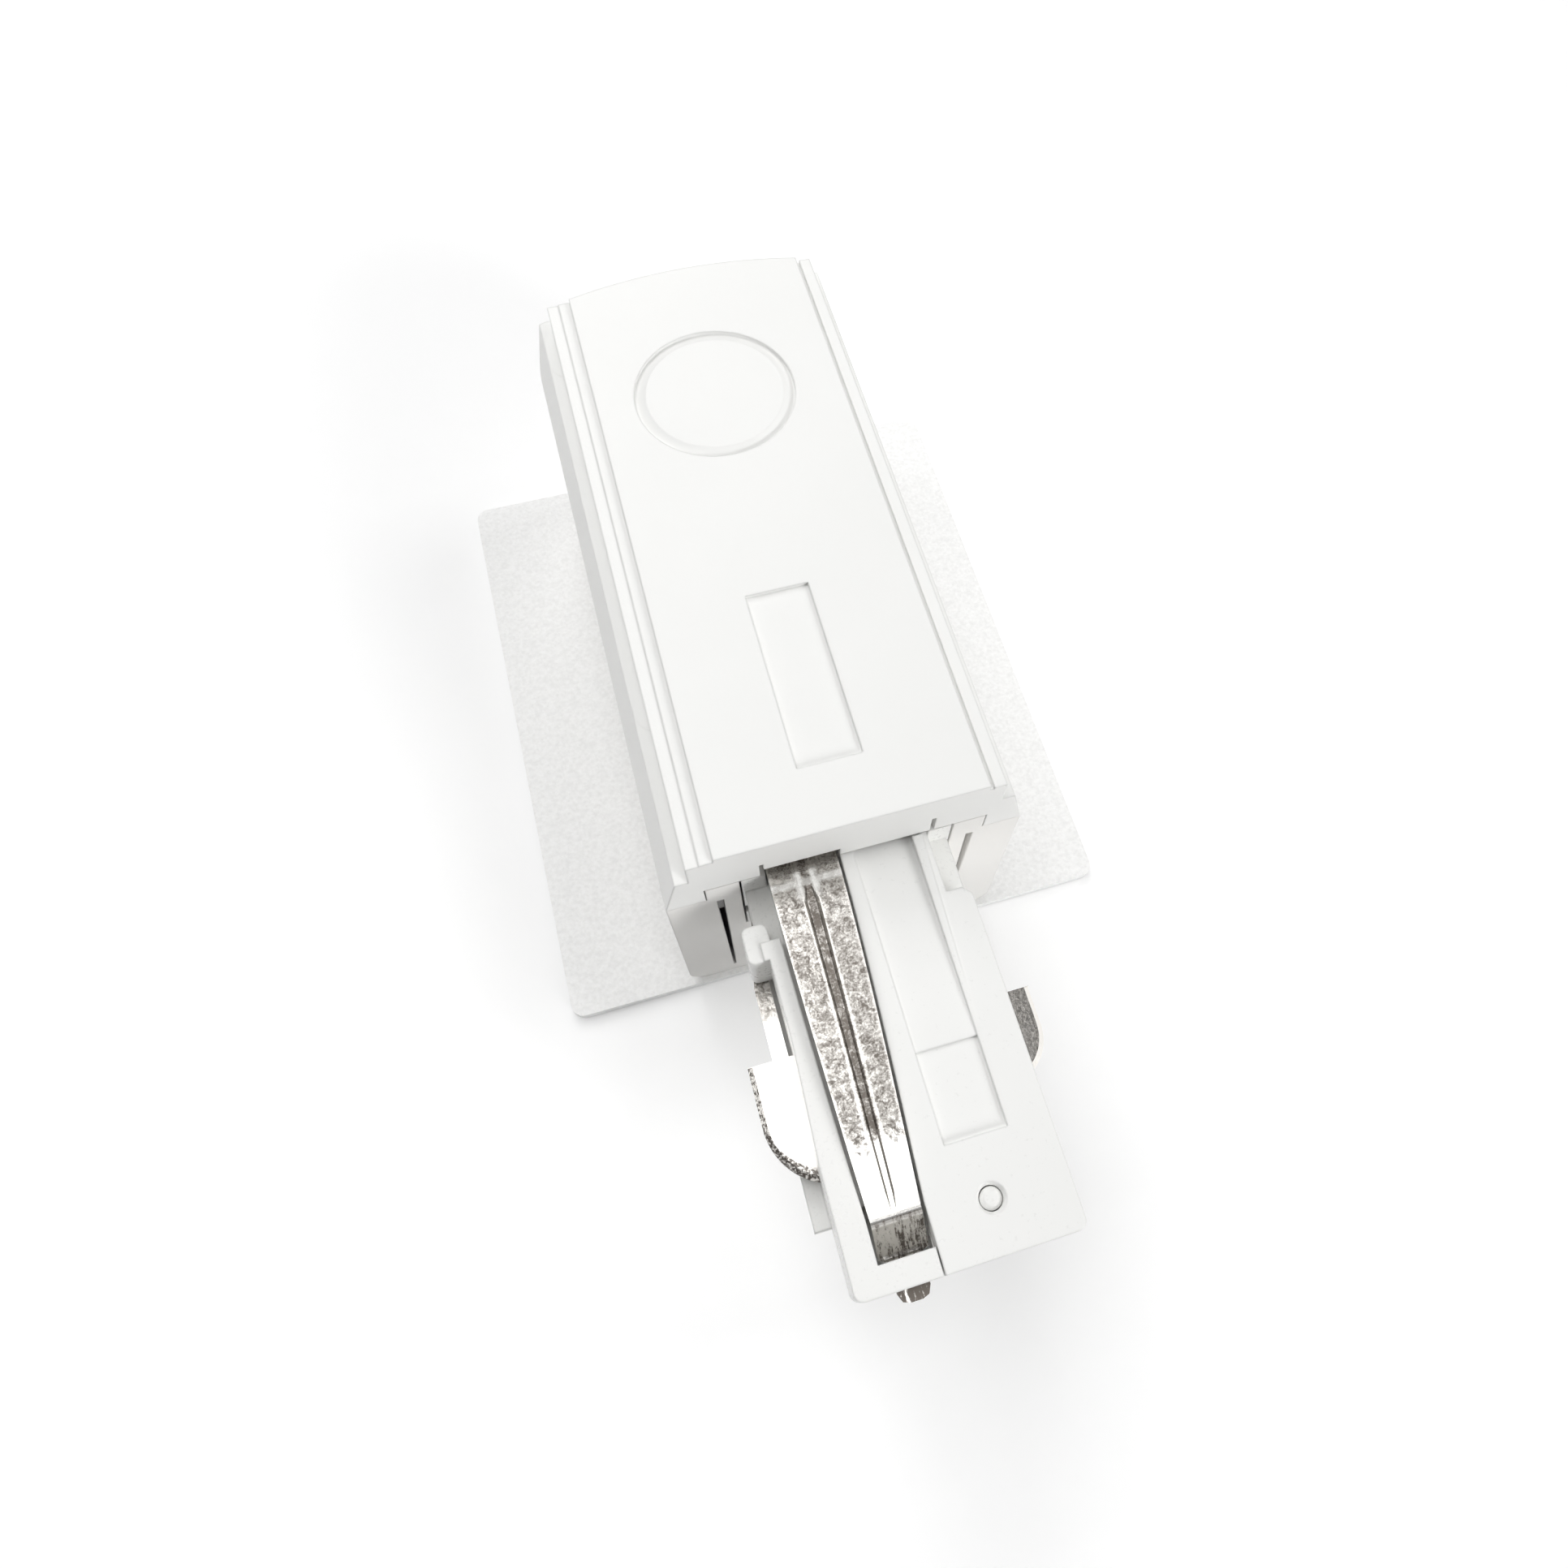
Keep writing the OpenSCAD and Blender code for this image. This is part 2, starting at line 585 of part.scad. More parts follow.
module carrier_body() {
  difference() {
    union() {
      span([-tongue_x, -tongue_l, tongue_low], [tongue_x, root_y, lid_z]);
      span([-root_x, wall + play, tongue_low], [root_x, root_y, slot_low]);
      // left rail, beside the well of the earth spring
      linear_z(lid_z - eps, tongue_z) polygon(concat(
        [[-tongue_x, -rail_start], [-tongue_x, -tongue_l], [well_left(strip_end), -tongue_l]],
        [for (i = [8 : -1 : 0]) [well_left(rail_y[i]), -rail_y[i]]]));
      // floor of the well
      linear_z(lid_z - eps, channel_z) polygon(concat(
        [[-neck_x, rear_rest], [-neck_x, -rail_start],
         [1 - tongue_x, -rail_start], [1 - tongue_x, -tongue_l]],
        [for (i = [len(well_y) - 1 : -1 : 0]) [well_right(well_y[i]) - gap, -well_y[i]]]));
      // front web
      linear_z(channel_z - eps, tongue_z)
        polygon([[1 - tongue_x, -web_y], [1 - tongue_x, -tongue_l],
                 [well_right(tongue_l) - gap, -tongue_l], [well_right(tongue_l) - gap, -web_y]]);
      // collar that closes the housing's mouth
      for (s = [0, 1]) mirror([s, 0, 0])
        span([neck_x + 2 * gap, 0, lid_z - eps], [collar_x, wall, tongue_z + collar]);
      span([-collar_x, 0, tongue_low], [collar_x, wall, lid_z]);
      // key that lets the tongue into the track one way only
      span([-tongue_x - key_out, key_in - tongue_l, tongue_low], [1 - tongue_x, 1 - head_y, slot_low - 1.2]);
      // guide block beside the left rail
      translate([-tongue_x - guide_out, -guide_y[1], slot_high - eps])
        linear_extrude(tongue_z - guide_drop - slot_high + eps)
          rounded(guide_out + 1, guide_y[1] - guide_y[0], guide_r);
      pivot_ears();
      translate([stake_x, stake_in - tongue_l, lid_z - 1]) stake();
    }
    // the left rail is set back in front of the guide block, above the contact's arm
    linear_z(slot_high - eps, tongue_z + 1) polygon([
      [-tongue_x - 1, -guide_y[1]], [rail_back - tongue_x, -guide_y[1]], [rail_back - tongue_x, -head_back],
      [-tongue_x - gap, -slot_front], [-tongue_x - 1, -slot_front]]);
    both_sides() carrier_slot();
    // slot and pocket for the spring's tail
    span([strip_x1 - strip_front_w / 2 - play, -web_y, pocket_z],
         [strip_x1 + strip_front_w / 2 + play, -strip_end + play + 1, tongue_z + 1]);
    span([strip_x1 - tail_w / 2 - play, -tongue_l - 1, pocket_z],
         [strip_x1 + tail_w / 2 + play, -web_y + 1, tail_z + strip_t / 2 + play]);
    for (s = [-1, 1]) translate([s * carrier_screw_x, carrier_screw_y, 0]) {
      translate([0, 0, tongue_low - 1]) cylinder(r = hole_r, h = tongue_h);
      translate([0, 0, seat_z]) cylinder(r = pan_r + play, h = tongue_h);
    }
    // notch for the earth lead
    span([-lead_r - play, carrier_screw_y + 1, seat_z + head_h], [lead_r + play, root_y + 1, tongue_z]);
  }
}

module linear_z(z0, z1) translate([0, 0, z0]) linear_extrude(z1 - z0) children();

module stake() {
  cylinder(r = stake_r, h = lid_t + 0.5);
  translate([0, 0, lid_t + 0.5]) cylinder(r1 = stake_r, r2 = stake_r - 0.35, h = 0.3);
}

// Side slot for a contact, with the open bay round its post
module carrier_slot() {
  difference() {
    union() {
      span([slot_in, -slot_front, slot_low], [tongue_x + 5, root_y + 1, slot_high]);
      span([slot_in + 1, wall + 1.8, slot_low], [root_x + 5, root_y + 1, tongue_z + 2]);
    }
    translate([post_x, post_y, 0]) cylinder(r = post_r, h = post_top);
  }
}

// Two ears that hold the earth spring's pin
module pivot_ears() {
  for (x = [eye_x[0] - play - ear_t, eye_x[1] + play])
    difference() {
      span([x, pin_y - ear_r, lid_z - eps], [x + ear_t, pin_y + ear_r, pin_z + ear_r]);
      translate([x - 1, pin_y, pin_z]) rotate([0, 90, 0]) cylinder(r = pin_r, h = ear_t + 2);
    }
}

module carrier_lid() {
  color(shade) intersection() {
    linear_z(lid_z, body_h) tongue_plan();
    union() {
      lid_plate();
      // ridge that runs out along the recess
      intersection() {
        linear_z(tongue_z - 1, tongue_z + 1) polygon([
          [recess_x[1], -gap], [recess_x[1] + ridge_w[0], -gap],
          [recess_x[1] + ridge_w[1], -ridge_y], [recess_x[1], -ridge_y]]);
        translate([recess_x[1] - 1, 0, tongue_z]) rotate([90, 0, 90]) linear_extrude(ridge_w[0] + 2)
          polygon([[0, -0.5], [0, ridge_h], [-ridge_y - 1, 0], [-ridge_y - 1, -0.5]]);
      }
    }
  }
}

module lid_plate() {
  difference() {
    linear_z(lid_z + gap / 2, tongue_z) polygon(concat(
      [for (y = well_y) [well_right(y) + gap / 2, -y]],
      [[tongue_x, -tongue_l], [tongue_x, -rail_start - 0.8], [tongue_x - 0.8, -rail_start],
       [neck_x, -rail_start], [neck_x, rear_rest]]));
    // long recess whose floor rises towards the tongue's front, and a second one before it
    translate([recess_x[0], 0, tongue_z]) rotate([90, 0, 90]) linear_extrude(recess_x[1] - recess_x[0])
      polygon([[rear_rest + 1, -recess_d[0]], [rear_rest + 1, 1],
               [-recess_y[0], 1], [-recess_y[0], -recess_d[1]]]);
    span([recess_x[0], -recess_y[1], tongue_z - recess_d[2]],
         [recess_x[1], eps - recess_y[0], tongue_z + 1]);
    // hole for the stake, with a sloping ring round the stake's head
    translate([stake_x, stake_in - tongue_l, lid_z - 1]) cylinder(r = stake_r + gap, h = lid_t + 2);
    translate([stake_x, stake_in - tongue_l, tongue_z - stake_d])
      cylinder(r1 = stake_r + gap, r2 = stake_r + stake_w + eps, h = stake_d + eps);
  }
}

// Earth spring

// Height of the spring's middle line above the housing's end of it, y mm in front of the housing
function bow_z(y) = strip_z + strip_bow * sin(180 * pow(max(y, 0) / strip_end, 0.8))
                    - strip_fall * max(y, 0) / strip_end;

function along(y) = min(max(y / strip_end, 0), 1);
function strip_mid(y) = strip_x0 + (strip_x1 - strip_x0) * along(y);
function strip_half(y) = (strip_rear_w - (strip_rear_w - strip_front_w) * pow(along(y), 1.5)) / 2;

// Middle line of the sheet as [y forward, z, heading, half width], down the slot and out under the web
start_y = pin_y - ear_r - 1;     // rear end of the wide sheet
flat_n = 22;
bend_n = 4;
bend_drop = bend_r * (1 - cos(tail_a));
down_y = strip_end + bend_r * sin(tail_a);
turn_y = down_y + bend_r * sin(tail_a) + (bow_z(strip_end) - tail_z - 2 * bend_drop) / tan(tail_a);
tip_y = tongue_l + tip_out;
path = concat(
  [for (i = [0 : flat_n]) let (y = -start_y + (strip_end + start_y) * i / flat_n)
    [y, bow_z(y), 0, strip_half(y)]],
  [for (i = [1 : bend_n]) let (a = tail_a * i / bend_n)
    [strip_end + bend_r * sin(a), bow_z(strip_end) - bend_r * (1 - cos(a)), a, strip_front_w / 2]],
  [for (i = [0 : bend_n]) let (k = i / bend_n, a = tail_a * (1 - k))
    [turn_y - bend_r * sin(a), tail_z + bend_r * (1 - cos(a)), a,
     (strip_front_w * (1 - k) + tail_w * k) / 2]],
  [for (a = [0, 50, 90]) [tip_y - tip_r * (1 - sin(a)), tail_z, 0, tail_w / 2 - tip_r * (1 - cos(a))]]);

// The rib starts a little in front of the housing and narrows towards the bend
function rib(y) =
  y < rib_start || y > strip_end - rib_stop ? 0 : 1 - 0.5 * (y - rib_start) / (strip_end - rib_start);

// One ring of points round the sheet's section at station i
function ring(i) = let (
  p = path[i], h = p[3], k = rib(p[0]), r = max(rib_w * k, 0.25), t = strip_t / 2,
  across = [-h, -r, -0.55 * r, 0.55 * r, r, h], drop = [0, 0, rib_d * k, rib_d * k, 0, 0])
  concat(
    [for (j = [0 : 5]) strip_point(p, across[j], t - drop[j])],
    [for (j = [5 : -1 : 0]) strip_point(p, across[j], -drop[j] - t)]);
function strip_point(p, x, n) =
  [strip_mid(p[0]) + x, -(p[0] + n * sin(p[2])), p[1] + n * cos(p[2])];

module earth_spring() {
  n = len(path);
  m = 12;
  color("silver") {
    polyhedron(
      points = [for (i = [0 : n - 1]) each ring(i)],
      faces = concat(
        [for (j = [0 : m / 2 - 2]) [m - 1 - j, m - 2 - j, j + 1, j]],
        [for (i = [0 : n - 2], j = [0 : m - 1])
          each [[i * m + j, i * m + (j + 1) % m, (i + 1) * m + j],
                [i * m + (j + 1) % m, (i + 1) * m + (j + 1) % m, (i + 1) * m + j]]],
        [for (j = [0 : m / 2 - 2]) let (k = (n - 1) * m) [k + j, k + j + 1, k + m - 2 - j, k + m - 1 - j]]));
    // narrow neck and rolled eye
    span([eye_x[0], start_y - play, strip_z - strip_t / 2 + eps / 2],
         [eye_x[1], pin_y, strip_z + strip_t / 2 - eps / 2]);
    translate([eye_x[0], pin_y, pin_z]) rotate([0, 90, 0]) difference() {
      cylinder(r = eye_out, h = eye_x[1] - eye_x[0]);
      translate([0, 0, -1]) cylinder(r = eye_in, h = eye_x[1] - eye_x[0] + 2);
    }
  }
}

module earth_pivot_pin() {
  x0 = eye_x[0] - play - ear_t;
  color("goldenrod") translate([x0, pin_y, pin_z]) rotate([0, 90, 0])
    cylinder(r = pin_r, h = lug_x + lug_t + 0.5 - x0);
}

// Blade contacts

// Blade with a straight rear edge and a round lead-in of radius r, on its arm
module contact_plan(r, flat) {
  intersection() {
    translate([contact_reach - r, -head_back - flat]) {
      circle(r);
      square([r, flat]);
    }
    translate([head_in, -head_back - flat - r]) square([2 * r, r + flat]);
  }
  // arm that runs back into the housing and sets out beside the rail
  polygon([
    [arm_front_x, -head_back - 1], [arm_front_x + arm_w, -head_back - 1], [arm_front_x + arm_w, -arm_y[1]],
    [arm_rear_x + arm_w, -arm_y[0]], [post_x + post_r / 2, post_y], [arm_rear_x, post_y - 1],
    [arm_rear_x, -arm_y[0]], [arm_front_x, -arm_y[1]]]);
}

// Room for the contact, with a sloping rim along the blade's outer edge
module contact_room(r, flat) {
  edge = contact_reach + eps;
  low = contact_z - contact_t - 1;
  translate([contact_reach - r, -head_back - flat, 0]) {
    translate([0, 0, low]) cylinder(r = r + eps, h = contact_z - rim - low);
    translate([0, 0, contact_z - rim]) cylinder(r1 = r + eps, r2 = r - rim, h = rim);
  }
  along_y(-head_back - flat, flat)
    polygon([[0, low], [edge, low], [edge, contact_z - rim], [edge - rim, contact_z], [0, contact_z]]);
  span([0, -head_back - eps, low], [edge, post_y + 3, contact_z]);
}

module contact(r, flat) {
  color("silver") difference() {
    union() {
      intersection() {
        linear_z(contact_z - contact_t, contact_z) contact_plan(r, flat);
        contact_room(r, flat);
      }
      translate([post_x, post_y, contact_z - contact_t]) cylinder(r = eye_r, h = contact_t);
    }
    translate([post_x, post_y, contact_z - contact_t - 1]) cylinder(r = post_r + 0.08, h = contact_t + 2);
  }
}

module line_contact() mirror([1, 0, 0]) contact(head_r, head_flat);
module neutral_contact() contact(right_head_r, right_head_flat);

// Internal leads

// Ring lug on a contact's post, and a straight insulated lead to the terminal
module contact_lead() {
  z = contact_z + play;
  color("silver") difference() {
    union() {
      translate([post_x, post_y, z]) cylinder(r = lug_r, h = lug_t);
      span([post_x - lug_w / 2, post_y, z], [post_x + lug_w / 2, post_y + lug_l, z + lug_t]);
    }
    translate([post_x, post_y, contact_z]) cylinder(r = post_r + gap / 2, h = 3 * lug_t);
  }
  color("white") rod([post_x, post_y + lug_l - lead_r, wire_z], [post_x, lead_stop, wire_z], lead_r);
  color("chocolate") rod([post_x, lead_stop - gap, wire_z], [post_x, term_y + lead_in, wire_z], core_r);
}

module line_lead() mirror([1, 0, 0]) contact_lead();
module neutral_lead() contact_lead();

// Ring on the spring's pin, and a lead that slants down to the middle terminal
module earth_lead() {
  color("silver") difference() {
    union() {
      translate([lug_x, pin_y, pin_z]) rotate([0, 90, 0]) cylinder(r = ring_r, h = lug_t);
      span([lug_x, pin_y, pin_z - lead_r + gap], [lug_x + lug_t, pin_y + 2 * ring_r, pin_z + lead_r - gap]);
    }
    translate([lug_x - 1, pin_y, pin_z]) rotate([0, 90, 0]) cylinder(r = pin_r + 0.03, h = lug_t + 2);
  }
  color("yellowgreen") rod([0, pin_y + ring_r + lead_r, pin_z], [0, block_y0 - lead_r, wire_z], lead_r);
  color("chocolate") rod([0, block_y0 - 2 * core_r, wire_z], [0, term_y + lead_in, wire_z], core_r);
}

// Terminals

module terminal_block() {
  color("gainsboro") difference() {
    span([-block_x, block_y0, block_z], [block_x, block_y1, block_top]);
    for (i = [-1 : 1]) translate([i * pitch, 0, 0]) {
      span([-terminal_w / 2 - gap, term_y - gap, term_z],
           [terminal_w / 2 + gap, term_y + terminal_l + gap, block_top + 1]);
      translate([0, block_y0 - 1, wire_z]) rotate([-90, 0, 0])
        cylinder(r = lead_r + gap, h = block_wall + 2);
      translate([0, block_y1 + 1, wire_z]) rotate([90, 0, 0]) cylinder(r = wire_r + 0.4, h = block_rear + 2);
    }
    // waists between the terminals
    for (x = [-pitch / 2, pitch / 2])
      span([x - waist_w / 2, block_y0 + 4, block_top - 4], [x + waist_w / 2, block_y1 - 4, block_top + 1]);
  }
}

// Brass body with a small bore for the lead, a large one for the supply wire, and a screw hole
module terminal(x) {
  color("goldenrod") translate([x, 0, 0]) difference() {
    span([-terminal_w / 2, term_y, term_z], [terminal_w / 2, term_y + terminal_l, term_z + terminal_h]);
    translate([0, term_y - 1, wire_z]) rotate([-90, 0, 0])
      cylinder(r = core_r + gap, h = terminal_l - wire_l + 2);
    translate([0, term_y + terminal_l + 1, wire_z]) rotate([90, 0, 0]) cylinder(r = wire_r, h = wire_l + 1);
    translate([0, screw_y, wire_z]) cylinder(r = pilot_r, h = terminal_h);
  }
}

module terminal_screw(x) {
  z = term_z + terminal_h + head_up;
  color("silver") translate([x, screw_y, z]) pan_screw(pan_r, z - wire_z - wire_r - gap);
}

module line_terminal() terminal(-pitch);
module neutral_terminal() terminal(pitch);
module earth_terminal() terminal(0);
module line_terminal_screw() terminal_screw(-pitch);
module neutral_terminal_screw() terminal_screw(pitch);
module earth_terminal_screw() terminal_screw(0);

// Cable clamp

module cable_clamp() {
  z = floor_z + clamp_h;
  grip_r = 4;
  color(shade) difference() {
    union() {
      span([-clamp_x, clamp_y - clamp_ear, z], [clamp_x, clamp_y + clamp_ear, z + clamp_t]);
      for (s = [-1, 1]) translate([s * clamp_x, clamp_y, z]) cylinder(r = clamp_ear, h = clamp_t);
    }
    for (s = [-1, 1]) translate([s * clamp_x, clamp_y, z - 1]) cylinder(r = hole_r, h = clamp_t + 2);
    // hollow that centres the cable
    translate([0, clamp_y - clamp_ear - 1, z + clamp_t - 1 - grip_r]) rotate([-90, 0, 0])
      cylinder(r = grip_r, h = 2 * clamp_ear + 2);
  }
}

// Fasteners

module clamp_screws()
  color("silver") for (s = [-1, 1])
    translate([s * clamp_x, clamp_y, floor_z + clamp_h + clamp_t]) pan_screw(pan_r, clamp_t + clamp_h - 1.6);

module carrier_screws()
  color("silver") for (s = [-1, 1])
    translate([s * carrier_screw_x, carrier_screw_y, seat_z])
      pan_screw(pan_r, seat_z - floor_z - boss_h - 1);

module cover_screws()
  color("silver") for (x = [-corner_x, corner_x], y = corner_y)
    translate([x, y, sink_in]) sunk_screw(split_h + cover_grip);

module flange_screws()
  color("silver") for (y = flange_screw_y)
    translate([0, y, sink_in]) sunk_screw(floor_z + boss_h - 1.2);

flange_plate();
base_housing();
top_cover();
contact_carrier();
carrier_lid();
earth_spring();
earth_pivot_pin();
line_contact();
neutral_contact();
line_lead();
neutral_lead();
earth_lead();
terminal_block();
line_terminal();
neutral_terminal();
earth_terminal();
line_terminal_screw();
neutral_terminal_screw();
earth_terminal_screw();
cable_clamp();
clamp_screws();
carrier_screws();
cover_screws();
flange_screws();
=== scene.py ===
# %% [markdown]
# # A track end feed, photographed on white
# This lesson dresses a finished model of the end feed of a recessed lighting track. All its shapes come
# ready made, in metres and in one frame: +Y runs from the track to the closed end, +Z is up. What is left
# for Blender is the camera, the light, the rounded edges of moulded parts, and above all the finishes.

# %% Load the model
import json
import math
import bpy
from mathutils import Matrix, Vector

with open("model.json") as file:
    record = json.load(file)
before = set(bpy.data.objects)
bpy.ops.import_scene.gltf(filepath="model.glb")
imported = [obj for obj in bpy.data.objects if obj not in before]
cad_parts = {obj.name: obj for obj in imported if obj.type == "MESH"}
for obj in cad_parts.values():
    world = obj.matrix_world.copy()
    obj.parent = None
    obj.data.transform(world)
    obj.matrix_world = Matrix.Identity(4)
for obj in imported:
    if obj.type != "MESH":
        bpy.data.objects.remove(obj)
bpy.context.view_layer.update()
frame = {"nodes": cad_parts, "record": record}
MM = 0.001                              # a millimetre in metres
print("pieces:", len(frame["nodes"]))

# %% [markdown]
# ## The camera
# The photograph is a close view from above with a wide lens: the tongue is about 11 cm from the lens, and
# so it looks far larger than the closed end. A camera can be turned by hand until the picture looks right,
# but a near wide lens and a far long one are easily mixed up that way. So place, turn and lens were worked
# out together, from the corners of flange, housing and cover. The shift is small: the photograph was cut
# a little off the lens's axis.

# %% Camera
IMAGE_PX = 1932                         # width and height of the photograph
AXIS_PX = (1073.3, 898.8)               # where the lens's axis meets it
FOCAL_PX = 1461.5
SENSOR_MM = 36
CAMERA_MM = (-13.03, -35.37, 134.08)
CAMERA_TURN = (25.76, -2.43, -16.76)    # in degrees

camera_data = bpy.data.cameras.new("photo_camera")
camera_data.sensor_width = SENSOR_MM
camera_data.lens = SENSOR_MM * FOCAL_PX / IMAGE_PX
camera_data.shift_x = (IMAGE_PX / 2 - AXIS_PX[0]) / IMAGE_PX
camera_data.shift_y = (AXIS_PX[1] - IMAGE_PX / 2) / IMAGE_PX
camera_data.clip_start = 0.01
camera_data.clip_end = 20
camera = bpy.data.objects.new("photo_camera", camera_data)
camera.location = Vector(CAMERA_MM) * MM
camera.rotation_euler = [math.radians(turn) for turn in CAMERA_TURN]
bpy.context.scene.collection.objects.link(camera)
bpy.context.scene.camera = camera
print("lens in mm:", round(camera_data.lens, 2))

# %% [markdown]
# ## Colours and nodes
# Colours are written as the eye sees them, in sRGB hex. Blender computes with linear light, so one
# function turns them over. Nodes can be laid out by hand in the shader editor. In a script, one small
# function that adds a node, sets its values and links its inputs keeps every finish short. Each material
# first turns its place on the object into millimetres, so that patterns are sized like the real ones.

# %% Helpers for materials
def colour(code):
    """Linear colour with alpha 1 of an sRGB hex code."""
    parts = [int(code[i:i + 2], 16) / 255 for i in (1, 3, 5)]
    return [c / 12.92 if c <= 0.04045 else ((c + 0.055) / 1.055) ** 2.4 for c in parts] + [1]


def add(tree, kind, inputs=None, **settings):
    """Adds a node. An input is a value, one output of a node, or a node, which gives its first output."""
    node = tree.nodes.new(kind)
    for name, value in settings.items():
        setattr(node, name, value)
    for name, value in (inputs or {}).items():
        if isinstance(value, bpy.types.Node):
            value = value.outputs[0]
        if isinstance(value, bpy.types.NodeSocket):
            tree.links.new(value, node.inputs[name])
        else:
            node.inputs[name].default_value = value
    return node


def begin(name):
    """A new material: the material, its tree, and the place on the object in millimetres."""
    material = bpy.data.materials.new(name)
    material.use_nodes = True
    tree = material.node_tree
    tree.nodes.clear()
    place = add(tree, "ShaderNodeTexCoord").outputs["Object"]
    return material, tree, add(tree, "ShaderNodeMapping", {"Vector": place, "Scale": [1 / MM] * 3})


def finish_with(tree, shader):
    """Ends a material's tree with this shader."""
    add(tree, "ShaderNodeOutputMaterial", {"Surface": shader})


print("a white as linear light:", [round(v, 3) for v in colour("#f0f0ee")])

# %% [markdown]
# ## White paper
# The feed lies on white paper, which runs out of the picture on all sides. A curved backdrop would do as
# well, but a flat sheet is simpler and looks the same from above. The paper also glows a little, for the
# camera and for what mirrors and glass show, and never as light on the feed: so it reaches the white of
# the photograph and still takes the feed's shadow. Far from the lamps the glow grows, so that the paper
# stays pale up to the horizon.

# %% Surface of the paper
def direct_rays(tree):
    """1 for what the camera sees, also in a mirror or through glass, and 0 for light on other things."""
    ray = add(tree, "ShaderNodeLightPath").outputs
    seen = ray["Is Camera Ray"]
    for kind in ("Is Glossy Ray", "Is Transmission Ray"):
        seen = add(tree, "ShaderNodeMath", {0: seen, 1: ray[kind]}, operation="MAXIMUM")
    return seen


paper, tree, mm = begin("white_paper")
fibre = add(tree, "ShaderNodeTexNoise", {"Vector": mm, "Scale": 1 / 3.0, "Detail": 3.0})
tone = add(tree, "ShaderNodeMixRGB", {"Fac": fibre, "Color1": colour("#f1f1f1"),
                                      "Color2": colour("#f4f4f4")})
matte = add(tree, "ShaderNodeBsdfDiffuse", {"Color": tone})
away = add(tree, "ShaderNodeVectorMath", {0: mm}, operation="LENGTH").outputs["Value"]
bright = add(tree, "ShaderNodeMapRange", {"Value": away, "From Min": 350.0, "From Max": 1300.0,
                                          "To Min": 0.18, "To Max": 0.90})
shown = add(tree, "ShaderNodeMath", {0: direct_rays(tree), 1: bright}, operation="MULTIPLY")
glow = add(tree, "ShaderNodeEmission", {"Color": colour("#ffffff"), "Strength": shown})
finish_with(tree, add(tree, "ShaderNodeAddShader", {0: matte, 1: glow}))
print("backdrop:", paper.name)

# %% Floor
PAPER_SIZE = 6                          # in metres, so that its rim is far away
PAPER_GAP_MM = 0.2                      # below the flange, so that the two faces don't coincide
bpy.ops.mesh.primitive_plane_add(size=PAPER_SIZE, location=(0, 0.03, -PAPER_GAP_MM * MM))
floor = bpy.context.object
floor.name = "paper_floor"
floor.data.materials.append(paper)
print("floor just under the flange, in mm:", round(floor.location.z / MM, 2))

# %% [markdown]
# ## Lamps
# In the photograph the light is soft and comes from above, behind and the right. The top faces are near
# white, while the faces towards the camera get little besides what the paper throws back. A bright world
# would light all sides alike, so large area lamps are used. The largest hangs above, mostly to the left,
# with its right edge just past the place that flat metal mirrors: such metal shines, and metal that leans
# to the right shows the darker ceiling. Four smaller lamps stand on the right, in front, behind and on
# the left, and give each side of the feed its own grey.

# %% Lamps
# place and aim in metres, width and depth in metres, power in watts
LAMPS = {
    "lamp_above": ((-0.24, 0.20, 0.62), (-0.24, 0.21, 0.0), (0.62, 0.65), 2.65),
    "lamp_right": ((0.60, 0.06, 0.80), (0.0, 0.0, 0.02), (0.3, 0.3), 1.45),
    "lamp_front_right": ((0.42, -0.62, 0.36), (0.0, 0.0, 0.015), (0.3, 0.3), 4.0),
    "lamp_back": ((0.0, 0.70, 0.60), (0.0, 0.03, 0.02), (0.5, 0.4), 2.35),
    "lamp_left": ((-0.50, 0.42, 0.28), (0.0, 0.02, 0.02), (0.3, 0.3), 0.5)}
for name, (place, aim, size, watts) in LAMPS.items():
    lamp_data = bpy.data.lights.new(name, "AREA")
    lamp_data.shape = "RECTANGLE"
    lamp_data.size, lamp_data.size_y = size
    lamp_data.energy = watts
    lamp = bpy.data.objects.new(name, lamp_data)
    lamp.location = place
    lamp.rotation_mode = "QUATERNION"
    lamp.rotation_quaternion = (Vector(aim) - Vector(place)).to_track_quat("-Z", "Y")
    bpy.context.scene.collection.objects.link(lamp)
    print(name, "in watts:", watts)

# %% [markdown]
# ## The room
# Bright metal shows the room between the lamps: pale walls, and a ceiling that gets grey overhead. A
# picture of a studio could give such reflections, and a gradient by height gives them in a few nodes. As
# light on the feed, the room adds hardly anything. The view transform is Standard, which leaves the
# colours as they are written.

# %% World
ROOM_LIGHT = 0.04                       # strength of the room as light on the feed
world = bpy.data.worlds.new("pale_room")
bpy.context.scene.world = world
world.use_nodes = True
tree = world.node_tree
tree.nodes.clear()
way = add(tree, "ShaderNodeTexCoord").outputs["Generated"]
height = add(tree, "ShaderNodeSeparateXYZ", {"Vector": way}).outputs["Z"]
shade = add(tree, "ShaderNodeMapRange", {"Value": height, "From Min": 0.25, "From Max": 0.75,
                                         "To Min": 0.90, "To Max": 0.32})
strength = add(tree, "ShaderNodeMix", {"Factor": direct_rays(tree), "A": ROOM_LIGHT, "B": shade})
room = add(tree, "ShaderNodeBackground", {"Color": colour("#ffffff"), "Strength": strength})
add(tree, "ShaderNodeOutputWorld", {"Surface": room})
bpy.context.scene.view_settings.view_transform = "Standard"
print("room:", world.name)

